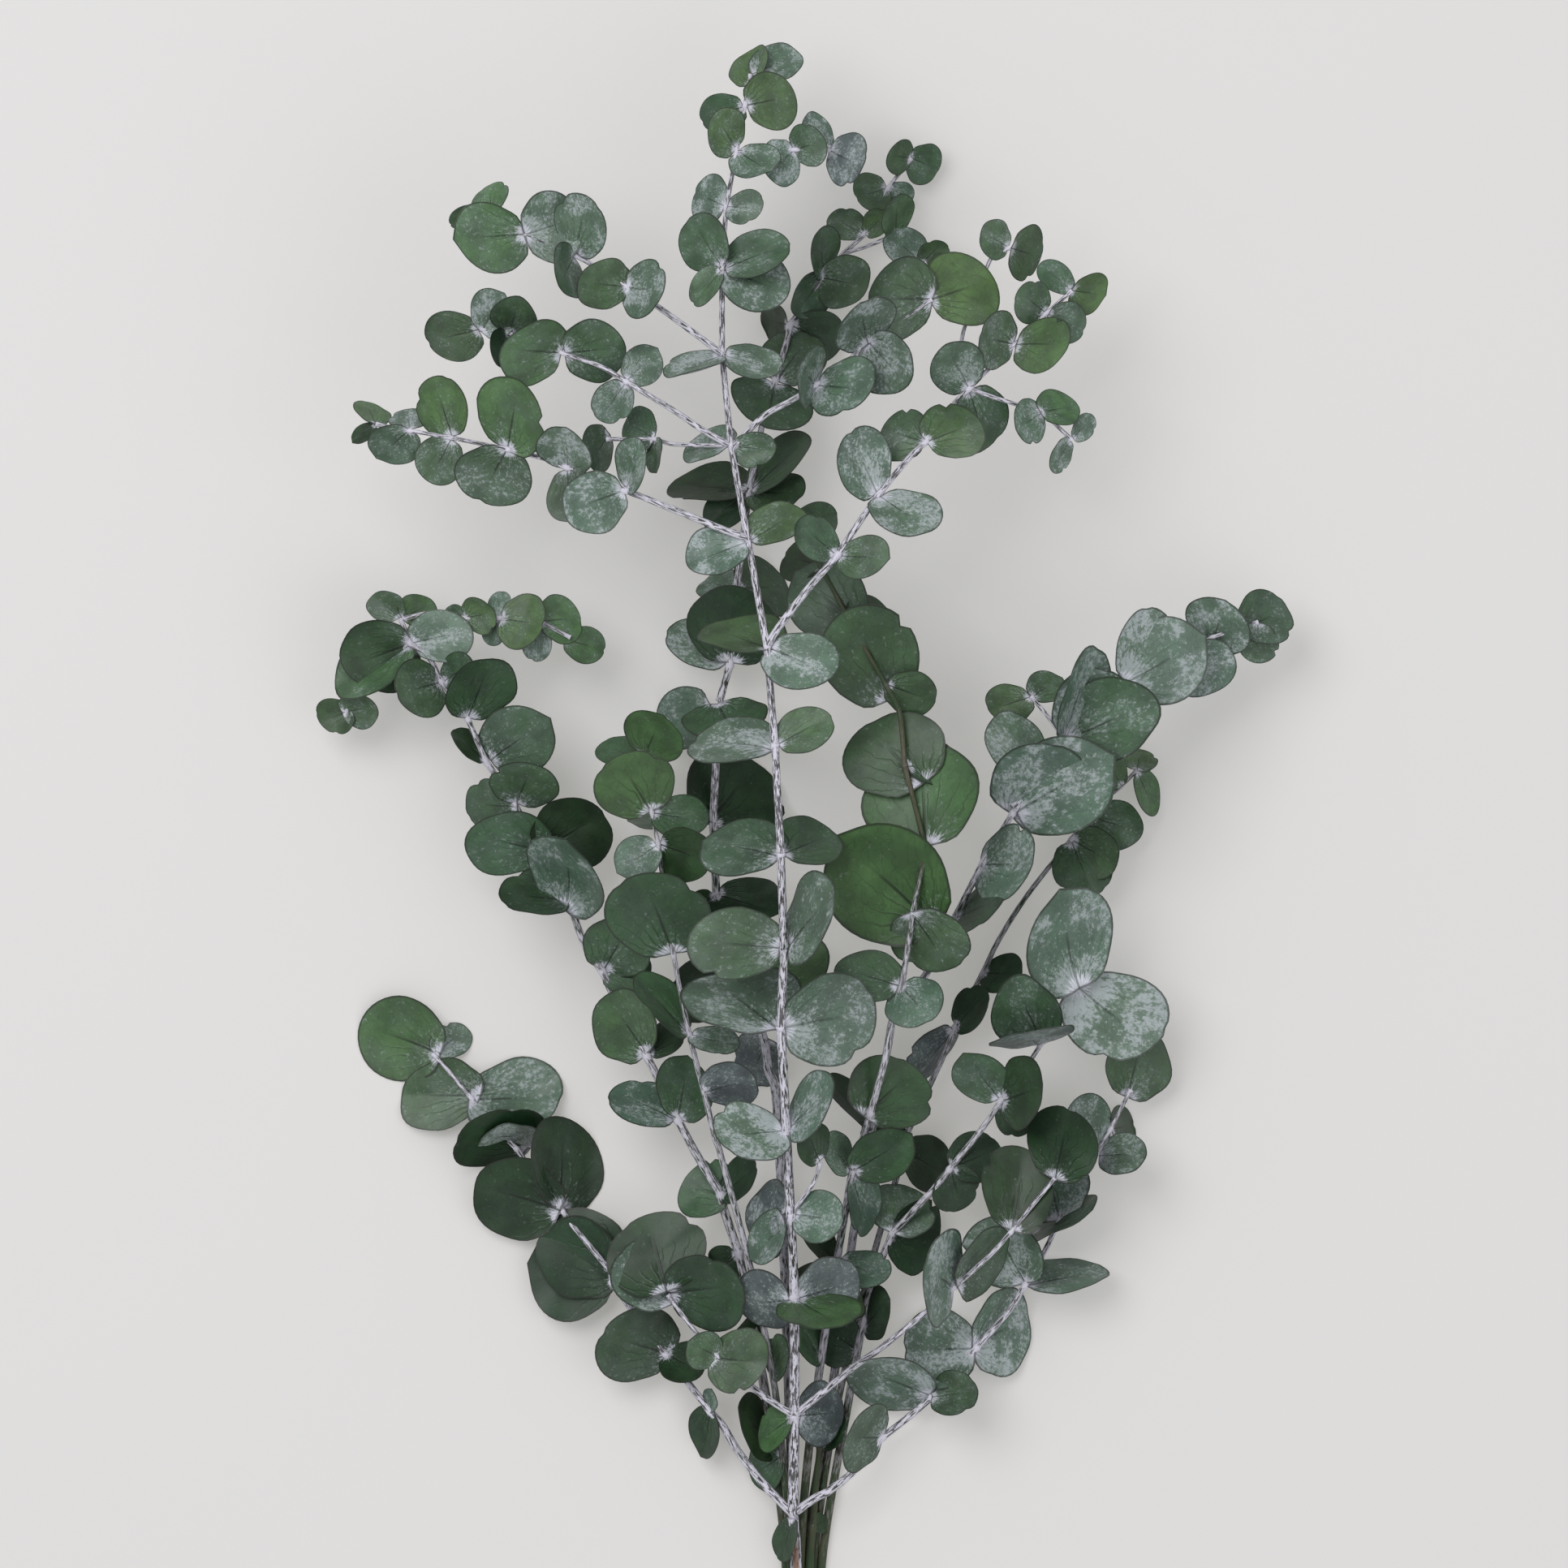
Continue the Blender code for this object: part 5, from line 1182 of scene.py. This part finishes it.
def stem_lines(shoots, powder, first, bare_tip):
    """The points and edges of a stem's shoots, with their thickness, collar and powder."""
    points = []
    edges = []
    girth = []
    collar = []
    core = []
    bloom = []
    for number, (foot_radius, tip_radius, rows) in enumerate(shoots):
        path = shoot_points(rows)
        for i, row in enumerate(rows):
            share = i / (len(rows) - 1)
            radius = shoot_radius(foot_radius, tip_radius, share)
            leafy = len(row) > 3
            steps = [(0.0, 1.0 if leafy else 0.0)]
            if leafy and i > 0:
                gap = np.linalg.norm(path[i] - path[i - 1])
                if gap > 2.5 * COLLAR_REACH:
                    steps.insert(0, (-COLLAR_REACH / gap, 0.0))
            if leafy and i < len(rows) - 1:
                gap = np.linalg.norm(path[i + 1] - path[i])
                if gap > 2.5 * COLLAR_REACH:
                    steps.append((COLLAR_REACH / gap, 0.0))
            for shift, swell in steps:
                other = path[i - 1] if shift < 0 else path[min(i + 1, len(path) - 1)]
                spot = path[i] + (other - path[i]) * abs(shift)
                points.append(spot)
                girth.append(radius)
                collar.append(swell)
                core.append(1.0 if first and number == 0 and i < 2 else 0.0)
                # Behind the front stem the bloom fades out towards the feet: painted shade, so
                # those stems show dark
                faded = BARE_AND_SHADED_POWDER
                if row[1] > bare_tip:
                    faded = np.interp(row[1], SHADED_FEET, (1.0, BARE_AND_SHADED_POWDER))
                bloom.append(powder * (1.0 if first else faded))
                if not (i == 0 and shift == steps[0][0]):
                    edges.append((len(points) - 2, len(points) - 1))
    mesh = bpy.data.meshes.new("lines")
    mesh.from_pydata([tuple(p) for p in points], edges, [])
    fill_columns(mesh, {
        "girth": ("FLOAT", girth),
        "collar": ("FLOAT", collar),
        "core": ("FLOAT", core),
        "powder": ("FLOAT", bloom),
    })
    return mesh


def bark_tree():
    """Draws a smooth round shoot along each line, swollen where leaves stand."""
    tree, given = new_tree("shoots of a stem", [
        ("Step", "NodeSocketFloat"),
        ("Swelling", "NodeSocketFloat"),
        ("Sides", "NodeSocketInt"),
        ("Finish", "NodeSocketMaterial"),
    ])
    curve = add_node(tree, "GeometryNodeMeshToCurve", {0: given["Geometry"]})
    curve = add_node(tree, "GeometryNodeCurveSplineType", {0: curve}, spline_type="CATMULL_ROM")
    curve = add_node(tree, "GeometryNodeResampleCurve", {"Curve": curve, "Length": given["Step"]},
                     mode="LENGTH")
    length = add_node(tree, "GeometryNodeSplineParameter", {}, output=1)
    curve = keep(tree, curve, "run", length, "FLOAT")
    swelling = stored(tree, "collar", "FLOAT") * given["Swelling"] + 1.0
    radius = stored(tree, "girth", "FLOAT") * swelling
    curve = add_node(tree, "GeometryNodeSetCurveRadius", {0: curve, 2: radius})
    section = add_node(tree, "GeometryNodeCurvePrimitiveCircle",
                       {"Resolution": given["Sides"], "Radius": 1.0})
    spot = add_node(tree, "GeometryNodeInputPosition", {})
    section = keep(tree, section, "round", spot)
    tube = add_node(tree, "GeometryNodeCurveToMesh",
                    {"Curve": curve, "Profile Curve": section, "Scale": radius,
                     "Fill Caps": True})
    tube = add_node(tree, "GeometryNodeSetShadeSmooth", {0: tube, 2: True})
    close_tree(tree, tube, given["Finish"])
    return tree


def bark_material():
    """Young bark: dull green-brown under white-lilac bloom, with near-black streaks along it."""
    made, tree, shader = new_material("bloomed bark")
    x, y, _ = read(tree, "round").parts()
    run = read(tree, "run", "Fac")
    powder = read(tree, "powder", "Fac")
    collar = read(tree, "collar", "Fac")
    grain = noise(tree, join(tree, x, y, run * 95.0), 2.4, 5.0, 0.66)
    patch = noise(tree, join(tree, x * 0.3, y * 0.3, run * 20.0), 1.8, 3.0)
    bare = patch.between(0.35, 0.7).mixed(GREEN_BARK, BROWN_BARK)
    facing = add_node(tree, "ShaderNodeNewGeometry", {}, output=1).parts()[2]
    core = read(tree, "core", "Fac") * (facing + grain * 0.35).between(0.92, 1.12)
    white = (grain * 0.8 + patch * 0.45 + powder * 0.16 + collar * 0.25).between(0.62, 0.78)
    # Less powder at the feet of the stems behind is painted shade, so the dull bare bark shows
    # there
    colour = (white * powder).mixed(bare, LILAC_WHITE)
    streak = (patch * 0.30 - grain - collar * 0.20).between(-0.365, -0.285) * powder
    colour = (streak * 0.85).mixed(colour, BLACK_STREAK)
    colour = (core * 0.85).mixed(colour, BROWN_CORE)
    tree.links.new(colour.socket, shader.inputs["Base Color"])
    set_bump(tree, shader, grain, 0.35, 0.0005)
    set_inputs(shader, {"Roughness": 0.68, "Specular IOR Level": 0.3})
    return made


def dress(leaves):
    """Puts the fine leaves and shoots in place of every stem's solid."""
    blades = bpy.data.collections.new("blade forms")
    for order, form in enumerate(BLADE_FORMS):
        blades.objects.link(blade_master(form, order))
    leafing = leaf_tree()
    barking = bark_tree()
    green = leaf_material("green leaf", 0.40)
    silvery = leaf_material("silvery leaf", 0.50)
    bark = bark_material()
    for stem, shoots in STEMS.items():
        own = [leaf for leaf in leaves if leaf.stem == stem]
        silver = stem in SILVERY_STEMS
        made = grown(f"{stem}_leaves", point_cloud(stem, leaf_values(own)), leafing, {
            "Blades": blades,
            "Blade Thickness": BLADE_THICKNESS,
            "Fold Depth": FOLD_DEPTH,
            "Floor Lift": FLOOR_LIFT,
            "Finish": silvery if silver else green,
        })
        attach(made, "root")
        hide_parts(stem)
        lines = stem_lines(shoots, BLOOM[stem][1], stem == "front_stem",
                           BARE_TIPS.get(stem, 0))
        made = grown(f"{stem}_bark", lines, barking, {
            "Step": BARK_STEP,
            "Swelling": COLLAR_SWELL,
            "Sides": BARK_SIDES,
            "Finish": bark,
        })
        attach(made, "root")
        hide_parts(stem)


# Floor, light and camera
PHOTO_SIDE = 1932
VIEW_CENTRE = PHOTO_SIDE / 2
VIEW_DISTANCE = 6.0            # height of the camera
VIEW_LEVEL = 0.06              # the height at which the frame's width is true
SENSOR = 36.0
FLOOR_HALF = 4.0
FLOOR_DEPTH = 0.0003           # the gap between the floor and the lowest leaves
FLOOR_COLOUR = (0.46, 0.452, 0.46)
FLOOR_GLOW = (1.0, 0.985, 0.915)
SKY_COLOUR = (0.97, 0.98, 1.0)
KEY_LIGHT = ((-1.1, 1.0, 2.6), 1.8, 46.0)       # where it is, its side and its power
FILL_LIGHT = ((1.6, -0.9, 2.2), 2.2, 14.0)
LIGHT_AIM = (0.0, 0.0, 0.05)


def make_floor():
    """The pale surface that the bunch lies on, which also glows a little."""
    mesh = bpy.data.meshes.new("floor")
    corners = [(-1, -1), (1, -1), (1, 1), (-1, 1)]
    mesh.from_pydata([(x * FLOOR_HALF, y * FLOOR_HALF, -FLOOR_DEPTH) for x, y in corners],
                     [], [(0, 1, 2, 3)])
    floor = bpy.data.objects.new("floor", mesh)
    bpy.context.scene.collection.objects.link(floor)
    made, _, shader = new_material("pale floor")
    set_inputs(shader, {
        "Base Color": (*FLOOR_COLOUR, 1.0),
        "Emission Color": (*FLOOR_GLOW, 1.0),
        "Emission Strength": 0.25,
        "Roughness": 0.95,
        "Specular IOR Level": 0.1,
    })
    mesh.materials.append(made)


def make_light(name, spot, size, power):
    """A soft square light that faces the middle of the bunch."""
    lamp = bpy.data.lights.new(name, "AREA")
    lamp.size = size
    lamp.energy = power
    made = bpy.data.objects.new(name, lamp)
    made.location = spot
    away = np.array(spot) - np.array(LIGHT_AIM)
    made.rotation_euler = (math.acos(away[2] / np.linalg.norm(away)), 0.0,
                           math.atan2(away[0], -away[1]))
    bpy.context.scene.collection.objects.link(made)


def set_scene():
    """The floor, the lights, the sky and a camera that looks straight down."""
    make_floor()
    make_light("key light", *KEY_LIGHT)
    make_light("fill light", *FILL_LIGHT)
    world = bpy.data.worlds.new("studio")
    bpy.context.scene.world = world
    world.use_nodes = True
    back = world.node_tree.nodes["Background"]
    set_inputs(back, {"Color": (*SKY_COLOUR, 1.0), "Strength": 0.58})
    bpy.context.scene.view_settings.view_transform = "Standard"
    lens = bpy.data.cameras.new("camera")
    camera = bpy.data.objects.new("camera", lens)
    bpy.context.scene.collection.objects.link(camera)
    centre = place(VIEW_CENTRE, VIEW_CENTRE, 0)
    camera.location = (centre[0], centre[1], VIEW_DISTANCE)
    lens.sensor_width = SENSOR
    lens.lens = SENSOR * (VIEW_DISTANCE - VIEW_LEVEL) / (PHOTO_SIDE * PICTURE_UNIT)
    bpy.context.scene.camera = camera


solid_leaves = bend_clear(read_leaves())
dress(solid_leaves + deep_leaves(len(solid_leaves)))
set_scene()
